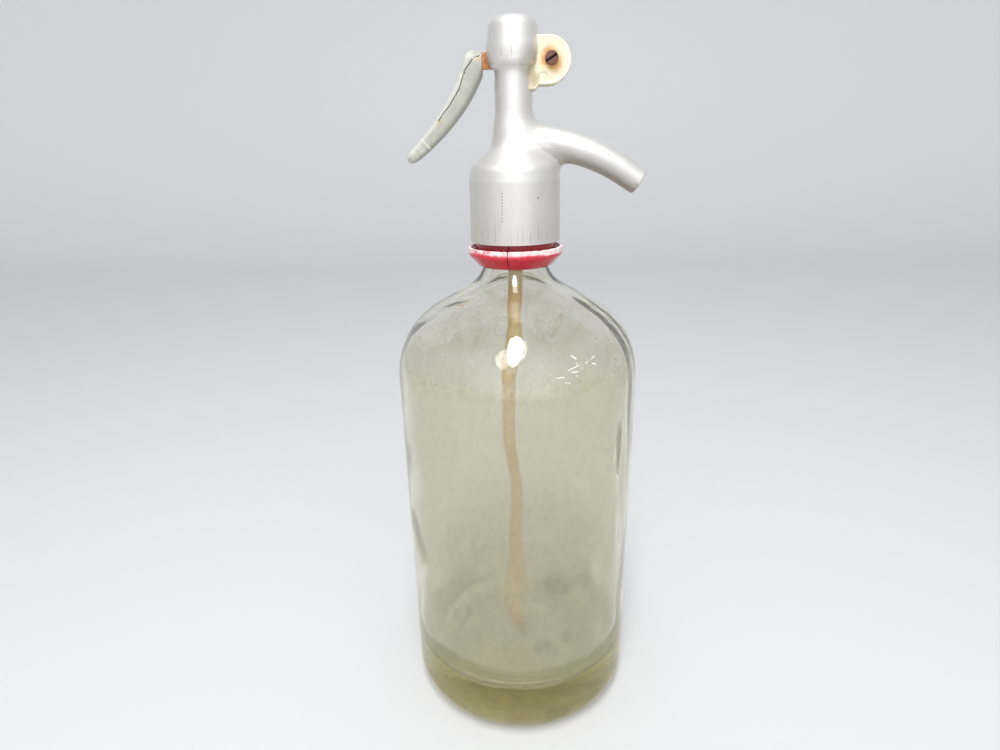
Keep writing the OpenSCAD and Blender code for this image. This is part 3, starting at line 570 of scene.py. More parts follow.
def makeTube():
    z = np.linspace(tube["foot"], tube["top"], tube["rows"])
    top, mid, bow = tube["bowTop"], tube["bowMid"], tube["bow"]
    upper = -bow / 2 * (1 - np.cos(np.radians(180 * (top - z) / (top - mid))))
    lower = -bow * (1 - tube["back"] * ((mid - z) / (mid - tube["foot"])) ** 2)
    x = np.where(z > top, 0, np.where(z > mid, upper, lower))
    lean = np.arctan(np.gradient(x, z))
    a = fullTurn(tube["columns"])
    row = np.concatenate([np.arange(tube["rows"]), np.arange(tube["rows"])[::-1]])
    radius = np.concatenate([np.full(tube["rows"], tube["radius"] - 0.02), np.full(tube["rows"], tube["bore"])])
    radius[[0, tube["rows"] - 1]] -= 0.25
    side = radius[:, None] * np.cos(a)
    pts = np.stack([x[row][:, None] + side * np.cos(lean[row])[:, None], radius[:, None] * np.sin(a) + 0 * side,
                    z[row][:, None] - side * np.sin(lean[row])[:, None]], -1)
    g = Finish("ochrePlastic")
    patches = g.noise(7, 4, 0.6, 1.0, g.stretched((1, 1, 0.4)))
    fine = g.noise(0.8, 4, 0.6, 2.0)
    colour = g.mix(g.between(patches, 0.4, 0.66), tube["colour"], tube["pale"])
    colour = g.coats(colour, (g.between(g.part(2), 0.045, 0.02, 0, 0.8), tube["footColour"]),
                     (g.between(fine, 0.6, 0.8, 0, 0.35), (0.45, 0.30, 0.12)))
    g.set(Base_Color=colour, Roughness=g.spread(patches, 0.42, 0.6), Normal=g.bump(fine, 0.02),
          Subsurface_Weight=0.12, Subsurface_Radius=(0.8, 0.5, 0.3), Subsurface_Scale=0.001)
    makePiece("dipTube", "root", g.made, pts,
              gridFaces(len(row), tube["columns"], True, True), ["dip_tube"])


makeTube()


# Collar halves: the section's outline swept over half a turn, with chipped and worn lips

collar = {"section": [(13.45, 205.41), (14.9, 205.41, 3), (19.3, 210.21, 2.5), (19.35, 213.31, 0.4),
                      (18.35, 213.31, 0.4), (17.65, 212.01, 0.6), (16.1, 212.01, 0.6), (16.1, 229.51),
                      (14.8, 229.51), (14.8, 223.43), (12.8, 221.43), (12.8, 209.6), (13.0, 207.3)],
          "split": -9.5, "gap": 0.4, "steps": 150, "chip": 0.45,
          "red": (0.60, 0.012, 0.035), "dish": (0.33, 0.008, 0.02), "worn": (0.90, 0.62, 0.62)}


def redPlastic():
    g = Finish("redPlastic")
    lip = g.mark("lip")
    dish = g.mark("dish")
    blotch = g.noise(3.4, 5, 0.7, 1.0)
    fine = g.noise(0.55, 5, 0.7, 3.0)
    shades = g.noise(9, 3, 0.5, 5.0)
    rub = g.plus(lip, g.around(blotch, 1.7))
    rub = g.plus(rub, g.around(fine, 0.9))
    worn = g.between(rub, 0.44, 0.8)
    pink = g.between(rub, 0.15, 0.5, 0, 0.65)
    colour = g.mix(g.between(shades, 0.35, 0.7), collar["red"], (0.70, 0.02, 0.06))
    # The dished top face inside the lip gets a darker red: painted shade on the same plastic
    colour = g.coats(colour, (dish, collar["dish"]),
                     (pink, (0.78, 0.16, 0.20)),
                     (worn, g.mix(g.between(fine, 0.4, 0.65), collar["worn"], (0.95, 0.86, 0.84))))
    specks = g.dots(1.9, 0.16, 0.2, 4.0)
    colour = g.mix(g.times(specks, 0.7), colour, (0.93, 0.74, 0.72))
    g.set(Base_Color=colour, Roughness=g.between(worn, 0, 1, 0.2, 0.62), Coat_Weight=0.25, Coat_Roughness=0.12,
          Normal=g.bump(worn, -0.06, g.bump(fine, 0.015, g.bump(blotch, 0.05))))
    return g.made


def makeCollar():
    line = rounded(collar["section"], 7)
    line = evenly(np.concatenate([line, line[:1]]), 0.42)[:-1]
    finish = redPlastic()
    for name, start, node in (("collarLeft", 90, "collar_left"), ("collarRight", -90, "collar_right")):
        q = np.linspace(0, 1, collar["steps"])[:, None]
        r, z = line[None, :, 0], line[None, :, 1]
        edge = np.degrees(np.arcsin(collar["gap"] / 2 / r))
        turn = np.radians(collar["split"] + start + edge + (180 - 2 * edge) * q)
        pts = np.stack([r * np.cos(turn), r * np.sin(turn), z + 0 * turn], -1)
        # Chips: where a random field is high, the lip's crown is taken down and its outer edge in
        crown = smooth(pts[..., 2], 211.9, 213.2) * smooth(r + 0 * turn, 17.9, 18.4)
        bite = np.clip(waves(pts, 4.2, 21, 14) - 0.55, 0, 1)
        bite += 0.6 * np.clip(waves(pts, 1.7, 22, 14) - 0.6, 0, 1)
        seam = smooth(np.minimum(q, 1 - q) + 0 * turn, 0.02, 0.0) * (0.5 + 0.5 * waves(pts, 1.5, 23))
        down = collar["chip"] * crown * np.clip(bite + seam, 0, 1.2)
        pts[..., 2] -= down
        pts[..., :2] *= (1 - 0.5 * down / np.hypot(pts[..., 0], pts[..., 1]))[..., None]
        n, last = len(line), collar["steps"] * len(line) - 1
        sweepFaces = gridFaces(collar["steps"], n, False, True).tolist()
        caps = [list(range(n)), list(range(last, last - n, -1))]
        lipMark = smooth(pts[..., 2], 210.2, 212.4) * smooth(r + 0 * turn, 17.4, 18.2)
        angle = np.degrees(np.arctan2(pts[..., 1], pts[..., 0]))
        ends = smooth(np.abs(angle + 172), 26, 4) + smooth(np.abs(angle + 38), 34, 6)
        lipMark = np.clip(lipMark * (0.72 + 0.5 * ends), 0, 1)
        # Mark for the dished top face, which is painted darker red as shade
        dishMark = smooth(r + 0 * turn, 18.3, 17.8) * smooth(pts[..., 2], 211.2, 211.8)
        makePiece(name, "root", finish, pts, sweepFaces + caps, [node],
                  marks={"lip": lipMark, "dish": dishMark})


makeCollar()


# Head casting: the turned body and the spout, each solved onto one surface that blends the two

head = {"outer": [(18.25, 215.51, 0.5), (18.05, 238.81, 0), (17.65, 243.91, 4.2), (7.2, 253.21, 8),
                  (7.2, 278.61, 2.4), (9.65, 280.11, 2.6), (10.15, 285.21, 12), (8.85, 296.01, 4.2), (0, 296.51)],
        "inner": [(0, 278.86), (4.7, 278.86), (4.7, 246.41), (7.55, 246.41), (7.55, 234.41), (16.3, 234.41),
                  (16.3, 215.51, 0.4)],
        # the lever's slot and the block's window: from and to in x, from and to in z, half width
        "slot": (-30, 4.9, 274.27, 284.76, 1.6), "window": (4.85, 30, 271.11, 289.61, 4.45),
        "columns": 300, "step": 0.55, "blend": 5.6, "overlap": 0.8, "under": 0.03, "dots": 5600.0,
        "spoutZ": 255.21, "straight": 18.3, "slope": 11, "bend": 70, "tipSlope": 33.5, "tip": 7.6,
        "rootRadius": 6.2, "tipRadius": 5.25, "bore": 3.5, "rim": 0.9,
        # dark flecks on the ball: from, to and width
        "flecks": [((-6.5, -6.9, 290.5), (-6.8, -7.1, 287.9), 0.3), ((-4.6, -8.9, 284.3), (-4.2, -8.9, 282.4), 0.3),
                   ((-0.5, -10.1, 285.7), (-0.5, -9.8, 282.3), 0.26), ((-2.3, -9.6, 282.4), (-2.5, -9.4, 281.3), 0.26)],
        # pits (middle, radius and fade) and cuts (from, to and width) on the skirt and the spout
        "nicks": [
            ((8.96, -15.75, 232.9), 0.35, 0.35), ((-13.0, -12.8, 221.0), (-13.0, -12.8, 217.0), 0.16),
            ((-10.4, -15.0, 222.0), (-10.5, -14.95, 217.2), 0.14), ((-7.7, -16.5, 223.5), (-7.8, -16.5, 216.5), 0.15),
            ((8.9, -15.95, 224.0), (8.95, -15.9, 217.4), 0.17), ((6.0, -17.2, 220.0), (6.05, -17.2, 216.4), 0.13),
            ((12.4, -13.3, 219.6), (12.45, -13.3, 216.8), 0.13), ((43.7, -5.2, 241.9), (45.3, -4.9, 241.5), 0.24),
            ((44.8, -5.1, 240.4), (46.4, -4.7, 240.2), 0.2), ((36.4, -5.5, 247.6), 0.3, 0.3),
            ((49.0, -4.0, 239.6), 0.25, 0.3), ((47.6, -4.8, 236.6), 0.3, 0.35)],
        "colour": (0.80, 0.785, 0.76), "warm": (0.66, 0.615, 0.55), "dark": (0.30, 0.26, 0.22)}
spoutBend = head["bend"] * math.radians(head["tipSlope"] - head["slope"])
spoutLength = head["straight"] + spoutBend + head["tip"]


def spoutAxis(s):
    # Middle of the spout at distance s: straight, then an arc, then straight; with its slope there
    slope, tipSlope = math.radians(head["slope"]), math.radians(head["tipSlope"])
    a = slope + (tipSlope - slope) * np.clip((s - head["straight"]) / spoutBend, 0, 1)
    root, tip = np.minimum(s, head["straight"]), np.maximum(0, s - head["straight"] - spoutBend)
    x = root * math.cos(slope) + head["bend"] * (np.sin(a) - math.sin(slope)) + tip * np.cos(a)
    z = head["spoutZ"] - root * math.sin(slope) - head["bend"] * (math.cos(slope) - np.cos(a)) - tip * np.sin(a)
    return np.stack([x, 0 * x, z], -1), a


def spoutRadius(s):
    start = head["straight"] / 2
    share = np.clip((s - start) / (spoutLength - start), 0, 1)
    return head["rootRadius"] + (head["tipRadius"] - head["rootRadius"]) * share


def fromSpout(pts):
    # Distance to the spout's skin: to the nearest point of its axis, less the radius there
    s = np.linspace(0, spoutLength, 70)
    centre, a = spoutAxis(s)
    ahead = np.stack([np.cos(a), 0 * a, -np.sin(a)], -1)
    off = pts[..., None, :] - centre
    near = np.argmin((off ** 2).sum(-1), -1)
    off = np.take_along_axis(off, near[..., None, None], -2)[..., 0, :]
    along = np.clip((off * ahead[near]).sum(-1), -0.4, 0.4)
    return np.linalg.norm(off - along[..., None] * ahead[near], axis=-1) - spoutRadius(s[near] + along)


outerLine = evenly(rounded(head["outer"], 14), head["step"])


def fromBody(pts):
    # Distance to the turned body: how far outside its radius at that height, times the slope's cosine
    z, r = outerLine[:-8, 1], outerLine[:-8, 0]
    slope = np.gradient(r, z + np.arange(len(z)) * 1e-6)
    return (np.hypot(pts[..., 0], pts[..., 1]) - np.interp(pts[..., 2], z, r)) \
        / np.sqrt(1 + np.interp(pts[..., 2], z, slope) ** 2)


def blended(a, b):
    # Smooth least of two distances: less than either where both are small, which rounds the junction
    h = np.clip(1 - np.abs(a - b) / head["blend"], 0, 1)
    return np.minimum(a, b) - h * h * head["blend"] / 4


def onBlend(pts, out, other):
    # Moves each point out until the blended distance is 0: near the junction the two skins lie in one surface
    lo, hi = np.zeros(pts.shape[:-1]), np.full(pts.shape[:-1], head["blend"] / 4 + head["overlap"])
    for _ in range(14):
        mid = (lo + hi) / 2
        inside = blended(mid, other(pts + out * mid[..., None])) < 0
        lo, hi = np.where(inside, mid, lo), np.where(inside, hi, mid)
    # Past the line where both are as near, a skin runs on just under the other one
    lo = lo - head["under"] * smooth(lo - other(pts + out * lo[..., None]), 0, 0.4)
    return pts + out * lo[..., None]


def castAluminium():
    g = Finish("castAluminium")
    grain = g.noise(0.42, 4, 0.65, 1.0)
    mottle = g.noise(6.5, 5, 0.6, 2.0)
    drawn = g.noise(0.38, 5, 0.72, 3.0, g.stretched((1, 1, 0.045)))
    broadDrawn = g.noise(2.4, 4, 0.6, 4.0, g.stretched((1, 1, 0.06)))
    skirt = g.mark("skirt")
    under = g.mark("under")
    low = g.times(skirt, g.between(g.part(2), 0.232, 0.216))
    lines = g.times(g.times(g.between(drawn, 0.54, 0.66), g.plus(g.times(skirt, 0.4), g.times(low, 0.6))),
                    g.between(broadDrawn, 0.42, 0.56))
    dash = g.sums("GREATER_THAN", g.sums("SINE", g.times(g.part(2), head["dots"])), -0.1)
    dotted = g.times(g.stroke((-4.75, -17.45, 235.4), (-4.95, -17.5, 224.5), 0.4), dash)
    flecks = g.times(g.between(g.noise(0.8, 5, 0.8, 6.0, g.stretched((1, 1, 0.32))), 0.62, 0.74),
                    g.sums("MAXIMUM", g.mark("flecked"), 0.15))
    ballFlecks = g.most([g.stroke(a, b, w) for a, b, w in head["flecks"]])
    jag = g.around(g.noise(0.7, 4, 0.7, 7.0), 0.0010)
    nicks = g.most([g.stroke(*nick) if isinstance(nick[1], tuple) else g.spot(*nick, jag) for nick in head["nicks"]])
    rough = g.times(g.mark("mouth"), g.between(g.noise(0.5, 4, 0.7, 8.0), 0.45, 0.7))
    brown = g.times(g.mark("brownByBlock"), g.spread(mottle, 0.5, 1.1))
    colour = g.mix(g.between(mottle, 0.35, 0.7), head["colour"], (0.74, 0.725, 0.70))
    colour = g.coats(colour, (g.times(skirt, g.spread(broadDrawn, 0.35, 0.75)), (0.72, 0.68, 0.63)),
                     (g.times(low, 0.45), head["warm"]),
                     # Painted reflection and shade: downward faces of the spout are darkened brown-grey to stand in for
                     # the dark ground they would mirror
                     (g.times(under, 0.8), (0.42, 0.365, 0.32)),
                     # browner round the block's root on the ball's lower right
                     (g.times(brown, 0.8, True), (0.50, 0.42, 0.31)))
    marks = g.most([g.times(lines, 0.6), g.times(dotted, 0.9), g.times(flecks, 0.55),
                    g.times(ballFlecks, 0.5), nicks])
    colour = g.mix(g.times(marks, 0.8), colour, head["dark"])
    relief = g.bump(drawn, 0.006, g.bump(grain, 0.014, g.bump(mottle, 0.10)))
    g.set(Base_Color=colour, Metallic=g.between(marks, 0, 1, 0.85, 0.45),
          Roughness=g.plus(g.spread(mottle, 0.48, 0.58), g.times(rough, 0.2)),
          Normal=g.bump(marks, -0.07, g.bump(rough, -0.1, relief)))
    return g.made


def makeHead():
    finish = castAluminium()
    inner = evenly(rounded(head["inner"] + [head["outer"][0]], 5)[:-1], 1.6)
    line = np.concatenate([inner, outerLine])
    pts = revolve(line, head["columns"])
    out = revolve(profileNormals(outerLine), head["columns"])
    skin = pts[len(inner):]
    near = fromSpout(skin) < head["blend"] * 1.2
    skin[near] = onBlend(skin[near], out[near], fromSpout)
    pts[len(inner):] = skin
    x, y, z = pts[..., 0], pts[..., 1], pts[..., 2]
    isSkin = (np.arange(len(line)) >= len(inner))[:, None] + 0 * z
    # Browner on the ball's lower right, round the block's root
    brownByBlock = smooth(np.hypot(x - 7.5, z - 280.5), 7.5, 2.5) * (x > 2) * 0.9
    marks = {"skirt": isSkin * smooth(z, 239.1, 238.6), "under": 0 * z, "mouth": 0 * z, "brownByBlock": brownByBlock * isSkin,
             "flecked": smooth(z, 276, 280) * smooth(z, 292, 287) * isSkin}
    body = makePiece("headCasting", "root", finish, pts, gridFaces(len(line), head["columns"]),
                     ["head_casting"], 30, marks)
    for x0, x1, z0, z1, half in (head["slot"], head["window"]):
        cutAway(body, *prism(np.array([(x0, z0), (x1, z0), (x1, z1), (x0, z1)]), -half, half), 30)

    # Spout: rings carried along its axis, out to the rim, over it and back up the bore
    s = np.concatenate([[1.5], np.arange(1.5, spoutLength - head["rim"], 0.42)])
    q = np.linspace(0, math.pi / 2, 9)
    rimS = spoutLength - head["rim"] + head["rim"] * np.sin(q)
    rimR = head["tipRadius"] - head["rim"] + head["rim"] * np.cos(q)
    boreS = np.concatenate([[spoutLength, spoutLength - 0.25], np.arange(spoutLength - 0.8, 8, -1.2), [8]])
    boreR = np.concatenate([[head["bore"] + 0.25], np.full(len(boreS) - 2, head["bore"]), [0]])
    allS = np.concatenate([s, rimS, boreS])
    allR = np.concatenate([[0], spoutRadius(s[1:]), rimR, boreR])
    centre, a = spoutAxis(allS)
    turn = fullTurn(132)
    up = np.stack([np.sin(a), 0 * a, np.cos(a)], -1)[:, None]
    ring = np.cos(turn)[None, :, None] * np.array([0, -1.0, 0]) + np.sin(turn)[None, :, None] * up
    pts = centre[:, None] + allR[:, None, None] * ring
    count = len(s)
    skin = pts[1:count]
    near = fromBody(skin) < head["blend"] * 1.2
    skin[near] = onBlend(skin[near], ring[1:count][near], fromBody)
    pts[1:count] = skin
    # The mouth's end face is a little uneven, as it was filed by hand
    end = (allS > spoutLength - 0.6)[:, None] + 0.0 * pts[..., 0]
    pts[..., 0] -= end * 0.12 * np.clip(waves(pts, 3.5, 31) + 0.6, 0, 2)
    z, face = pts[..., 2], np.sin(turn)[None] + 0 * pts[..., 0]
    outside = (np.arange(len(allS)) < count + len(rimS))[:, None] + 0 * z
    # The spout's downward-facing outside is marked for the painted dark reflection of the ground
    marks = {"skirt": 0 * z, "under": outside * smooth(face, 0.35, -0.9) * smooth(pts[..., 0], 6, 12),
             "mouth": smooth(allS, spoutLength - 1.0, spoutLength - 0.4)[:, None] * (allR > 3.2)[:, None] + 0 * z,
             "brownByBlock": 0 * z, "flecked": 0 * z + 0.1 * outside}
    makePiece("spout", "root", finish, pts, gridFaces(len(allS), len(turn)),
              ["head_casting"], 34, marks)


makeHead()


# Hinge block: a polar grid round the pivot, from the screw's hole over the edge to the nut's pocket and back

block = {"pivot": (14.2, 281.71), "centre": (13.15, 281.16), "radius": 8.4, "root": 4.9, "foot": 271.16,
         "tailEdge": 9.8, "tail": 1.6, "half": 4.4, "round": 0.55, "hole": 2.0, "nutFlat": 3.35, "nutFloor": 2.35,
         "columns": 240, "ejector": (11.0, 275.2), "pocket": (3, 274.27, 284.76, 4.4, 1.6),
         # rim: the lighter colour painted along the front rim as its highlight
         "colour": (0.74, 0.68, 0.50), "rim": (0.83, 0.80, 0.68)}


def blockOutline(columns):
    # How far the outline lies from the pivot in each direction: rays against its corner points
    (px, pz), (cx, cz), foot = block["pivot"], block["centre"], block["foot"]
    a = np.linspace(-math.pi / 2, math.pi / 2, 60)
    arc = np.stack([cx + block["radius"] * np.cos(a), cz + block["radius"] * np.sin(a)], -1)
    b = np.linspace(math.pi, math.pi / 2, 8)
    tail = np.stack([block["tailEdge"] + block["tail"] * np.cos(b), foot + block["tail"] * np.sin(b)], -1)
    line = np.concatenate([[(block["root"], foot)], tail, arc, [(block["root"], cz + block["radius"])]])
    line = evenly(np.concatenate([line, line[:1]]), 0.1) - (px, pz)
    way = np.unwrap(np.arctan2(line[:, 1], line[:, 0]))
    order = np.argsort(way % (2 * math.pi))
    turn = fullTurn(columns)
    reach = np.hypot(line[:, 0], line[:, 1])[order]
    return turn, np.interp(turn, (way % (2 * math.pi))[order], reach, period=2 * math.pi)


def roundPivot(rows, turn):
    # Points of rows (radius, y) round the pivot, with their radii and y
    r, y = (np.stack([row[k] + 0 * turn for row in rows]) for k in (0, 1))
    px, pz = block["pivot"]
    return np.stack([px + r * np.cos(turn), y, pz + r * np.sin(turn)], -1), r, y


def hexagon(flat, turn):
    # Radius of a hexagon in each direction, flat from its middle to a side
    return flat / np.cos((turn % (math.pi / 3)) - math.pi / 6)


def ivoryPlastic():
    g = Finish("ivoryPlastic")
    blotch = g.noise(3.2, 5, 0.65, 1.0)
    fine = g.noise(0.5, 4, 0.65, 2.0)
    jag = g.around(g.noise(2.6, 5, 0.7, 3.0), 0.0035)
    golden = g.spot((13.6, -4.4, 281.6), 2.9, 2.4, jag)
    orange = g.most([g.spot((12.2, -4.4, 281.5), 1.2, 1.4, jag), g.spot((15.6, -4.4, 279.4), 1.5, 1.8, jag),
                     g.spot((12.9, -4.4, 283.6), 0.9, 1.6, jag)])
    # Brown grime with painted shade: darker at the joins, in the ejector groove, on the sides' front half and on the
    # underside
    grimeAndShade = g.times(g.mark("grimeAndShade"), g.between(blotch, 0.3, 0.65, 0.4, 1.15))
    olive = g.times(g.mark("olive"), 0.45)
    colour = g.mix(g.between(blotch, 0.35, 0.7), block["colour"], (0.79, 0.745, 0.59))
    # The lighter band along the front rim is a painted highlight
    colour = g.coats(colour, (g.mark("edge"), block["rim"]),
                     (olive, (0.62, 0.57, 0.36)),
                     (g.times(grimeAndShade, 0.75, True), (0.42, 0.35, 0.20)),
                     (g.times(golden, 0.6), (0.72, 0.50, 0.17)),
                     (g.times(orange, 0.75), (0.60, 0.27, 0.06)))
    specks = g.dots(1.7, 0.14, 0.18, 6.0)
    colour = g.mix(g.times(specks, 0.5), colour, (0.40, 0.28, 0.14))
    g.set(Base_Color=colour, Roughness=g.spread(blotch, 0.42, 0.58), Subsurface_Weight=0.08,
          Subsurface_Radius=(0.9, 0.6, 0.35), Subsurface_Scale=0.001,
          Normal=g.bump(fine, 0.02, g.bump(blotch, 0.07)))
    return g.made


def makeBlock():
    turn, rim = blockOutline(block["columns"])
    pocket = hexagon(block["nutFlat"], turn)
    edge, half, hole = block["round"], block["half"], block["hole"]
    q = np.linspace(0, math.pi / 2, 7)
    rows = []      # radius in each direction, y
    for share in np.linspace(0, 1, 46):
        rows.append((hole + (rim - edge - hole) * share, -half))
    for a in q[1:]:
        rows.append((rim - edge + edge * math.sin(a), -half + edge - edge * math.cos(a)))
    for share in np.linspace(0, 1, 9)[1:]:
        rows.append((rim, -half + edge + (2 * half - 2 * edge) * share))
    for a in q[1:]:
        rows.append((rim - edge + edge * math.cos(a), half - edge + edge * math.sin(a)))
    for share in np.linspace(0, 1, 12)[1:]:
        rows.append((rim - edge + (pocket - rim + edge) * share, half))
    for share in np.linspace(0, 1, 4)[1:]:
        rows.append((pocket, half + (block["nutFloor"] - half) * share))
    rows += [(hole, block["nutFloor"]), (hole, 0.0)]
    pts, r, y = roundPivot(rows, turn)
    x, z = pts[..., 0], pts[..., 2]
    # Ejector mark: a shallow ring, on the front and open at its lower right; the face lies a tenth under the rim
    front = smooth(y, -half + 0.2, -half)
    ex, ez = block["ejector"]
    ejector = np.exp(-((np.hypot(x - ex, z - ez) - 1.75) / 0.22) ** 2) * smooth(z - ez - 0.3 * (x - ex), -0.6, 0.2)
    recess = smooth(rim[None] - r, 0.75, 1.15)
    pts[..., 1] += front * (0.22 * ejector + 0.10 * recess - 0.04 * waves(pts, 5, 41))
    # Brown at the joins with the ball and the column and in the ejector ring's groove, grime with painted shade in it;
    # the front half of the sides and the underside are darkened as painted shade
    grimeAndShade = front * (smooth(x, 10.2, 6.5) + 0.8 * ejector + 0.7 * smooth(np.hypot(x - 7.5, z - 274.5), 3.5, 1)) \
        + (1 - front) * (y < 0) * 0.4 + smooth(z, 273.6, 272.6) * (y > -half + 0.3) * 0.7
    # The front's outer band is marked for the painted rim highlight
    marks = {"edge": front * (1 - recess) * 0.8 + 0 * x,
             "olive": front * smooth(np.abs(x - 16.6), 2.2, 1.8) * smooth(np.abs(z - 276.9), 0.75, 0.45),
             "grimeAndShade": np.clip(grimeAndShade, 0, 1)}
    piece = makePiece("hingeBlock", "root", ivoryPlastic(), pts,
                      gridFaces(len(rows), block["columns"], True, True), ["hinge_block"], 36, marks)
    # The arm's pocket, round at its end
    a = np.linspace(-math.pi / 2, math.pi / 2, 25)
    (px, pz), (start, low, high, radius, wide) = block["pivot"], block["pocket"]
    eye = np.stack([px + radius * np.cos(a), pz + radius * np.sin(a)], -1)
    cutAway(piece, *prism(np.concatenate([[(start, low)], eye, [(start, high)]]), -wide, wide), 36)


makeBlock()


# Screw: a turned head and shank whose top is a height field with the slot; nut: the same with six flats

screw = {"radius": 2.45, "head": 1.5, "shank": 1.93, "slot": 0.75, "deep": 0.75, "turn": 30,
         "edge": 0.5, "base": 0.02, "length": 8.55, "columns": 144,
         "colour": (0.12, 0.055, 0.05), "rust": (0.30, 0.12, 0.06)}
nut = {"flat": 3.28, "corner": 3.45, "hole": 2.0, "front": 2.42, "back": 4.18, "columns": 96}


def rustyScrew():
    g = Finish("rustyScrew")
    crust = g.noise(0.9, 6, 0.75, 1.0)
    patch = g.noise(2.4, 4, 0.6, 2.0)
    colour = g.mix(g.between(crust, 0.42, 0.66), screw["colour"], screw["rust"])
    # The slot is painted near-black: painted shade inside it
    colour = g.coats(colour, (g.between(patch, 0.5, 0.68, 0, 0.7), (0.19, 0.10, 0.11)),
                     (g.mark("slot"), (0.012, 0.008, 0.008)))
    g.set(Base_Color=colour, Metallic=0.25, Roughness=g.spread(crust, 0.5, 0.85), Normal=g.bump(crust, 0.14))
    return g.made


def makeScrew():
    (px, pz), edge, base, end = block["pivot"], screw["edge"], screw["base"], -screw["length"]
    q = np.linspace(0, math.pi / 2, 7)[1:]
    faceR = np.linspace(0, screw["radius"] - edge, 34)
    r = np.concatenate([faceR, screw["radius"] - edge + edge * np.sin(q),
                        [screw["radius"], screw["shank"], screw["shank"], 0]])
    up = np.concatenate([np.full(34, screw["head"]), screw["head"] - edge + edge * np.cos(q), [base, base, end, end]])
    a = fullTurn(screw["columns"])
    off = r[:, None] * np.sin(a - math.radians(screw["turn"]))
    # The slot's mask also carries its painted shade
    inSlot = smooth(np.abs(off), screw["slot"] / 2 + 0.05, screw["slot"] / 2 - 0.05) * (up > 0.5)[:, None]
    height = up[:, None] - screw["deep"] * inSlot + 0 * a
    pts = np.stack([px + r[:, None] * np.cos(a), -block["half"] - height, pz + r[:, None] * np.sin(a)], -1)
    pts[..., 1] += (up > 0.3)[:, None] * 0.04 * waves(pts, 1.0, 51)
    makePiece("pivotScrew", "root", rustyScrew(), pts, gridFaces(len(r), len(a)),
              ["pivot_screw"], 40, {"slot": inSlot})


def makeNut():
    a = fullTurn(nut["columns"])
    side, corner, hole, back = hexagon(nut["flat"], a), nut["corner"], nut["hole"], nut["back"]
    rows = [(hole, nut["front"]), (side, nut["front"]), (side, back - 0.43),
            (np.minimum(side, corner + 0.12), back - 0.2), (np.minimum(side, corner - 0.15), back),
            (hole + 0.25, back), (hole, back - 0.23)]
    pts, r, y = roundPivot(rows, a)
    makePiece("pivotNut", "root", rustyScrew(), pts, gridFaces(len(rows), len(a), True, True),
              ["pivot_nut"], 30, {"slot": 0 * y})


makeScrew()
makeNut()


# Lever: the steel arm is the frame's own shape with its edges eased, the grip is swept down a curve

# path: upper end, handle length and angle there, the same at the lower end, lower end
grip = {"path": [(-13.3, 285.31), (12.5, 77.5), (20.7, 37.5), (-41.9, 246.61)],
        "width": (9.5, 4.8), "thick": (10.4, 6.4), "faceX": -11.6, "rows": 250, "columns": 120, "square": 0.66,
        "headEnd": 0.12, "tipEnd": 0.06, "inset": 0.25, "pitch": 1.25,
        "crack": [(-12.4, 283.1), (-14.6, 282.2), (-17.8, 278.5), (-19.1, 275.5), (-20.3, 272.1), (-22.4, 269.0),
                  (-24.4, 266.2), (-26.5, 264.0), (-28.6, 261.3)],
        # pale is the lighter grey painted on the front's upper strip as its lit side
        "band": (-34.6, 253.3), "colour": (0.40, 0.40, 0.345), "pale": (0.60, 0.60, 0.54)}


def rustySteel():
    g = Finish("rustySteel")
    crust = g.noise(1.1, 6, 0.7, 1.0)
    patch = g.noise(3.4, 4, 0.6, 2.0)
    colour = g.ramp(crust, (0.3, (0.20, 0.075, 0.03)), (0.46, (0.50, 0.20, 0.07)), (0.6, (0.66, 0.33, 0.15)),
                    (0.75, (0.74, 0.48, 0.30)))
    colour = g.mix(g.between(patch, 0.48, 0.62, 0, 0.55), colour, (0.70, 0.42, 0.26))
    # Painted shade: a dark line where a fold would shade the arm's face; the plate itself is flat
    paintedFoldShade = g.stroke((-10.6, -1.3, 285), (-9.7, -1.3, 278.5), 0.55)
    colour = g.mix(g.times(paintedFoldShade, 0.5), colour, (0.22, 0.09, 0.04))
    g.set(Base_Color=colour, Metallic=g.between(patch, 0.4, 0.7, 0.15, 0.5),
          Roughness=g.spread(crust, 0.75, 0.5), Normal=g.bump(crust, 0.10))
    return g.made


def flatten(work):
    bmesh.ops.remove_doubles(work, verts=work.verts, dist=weld)
    bmesh.ops.dissolve_limit(work, angle_limit=0.01, verts=work.verts, edges=work.edges)


def makeArm():
    mesh = nodes["lever_arm"].data.copy()
    reworked(mesh, flatten)
    mesh.name = "leverArm"
    mesh.materials.clear()
    mesh.materials.append(rustySteel())
    arm = placed("leverArm", mesh)
    ease = arm.modifiers.new("ease", "BEVEL")
    ease.width, ease.segments, ease.limit_method, ease.angle_limit = 0.22 * mm, 2, "ANGLE", math.radians(50)
    shadePiece(mesh, 40)
    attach(arm, "lever")
    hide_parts("lever_arm")
    print(f"leverArm: {len(mesh.polygons)} faces")


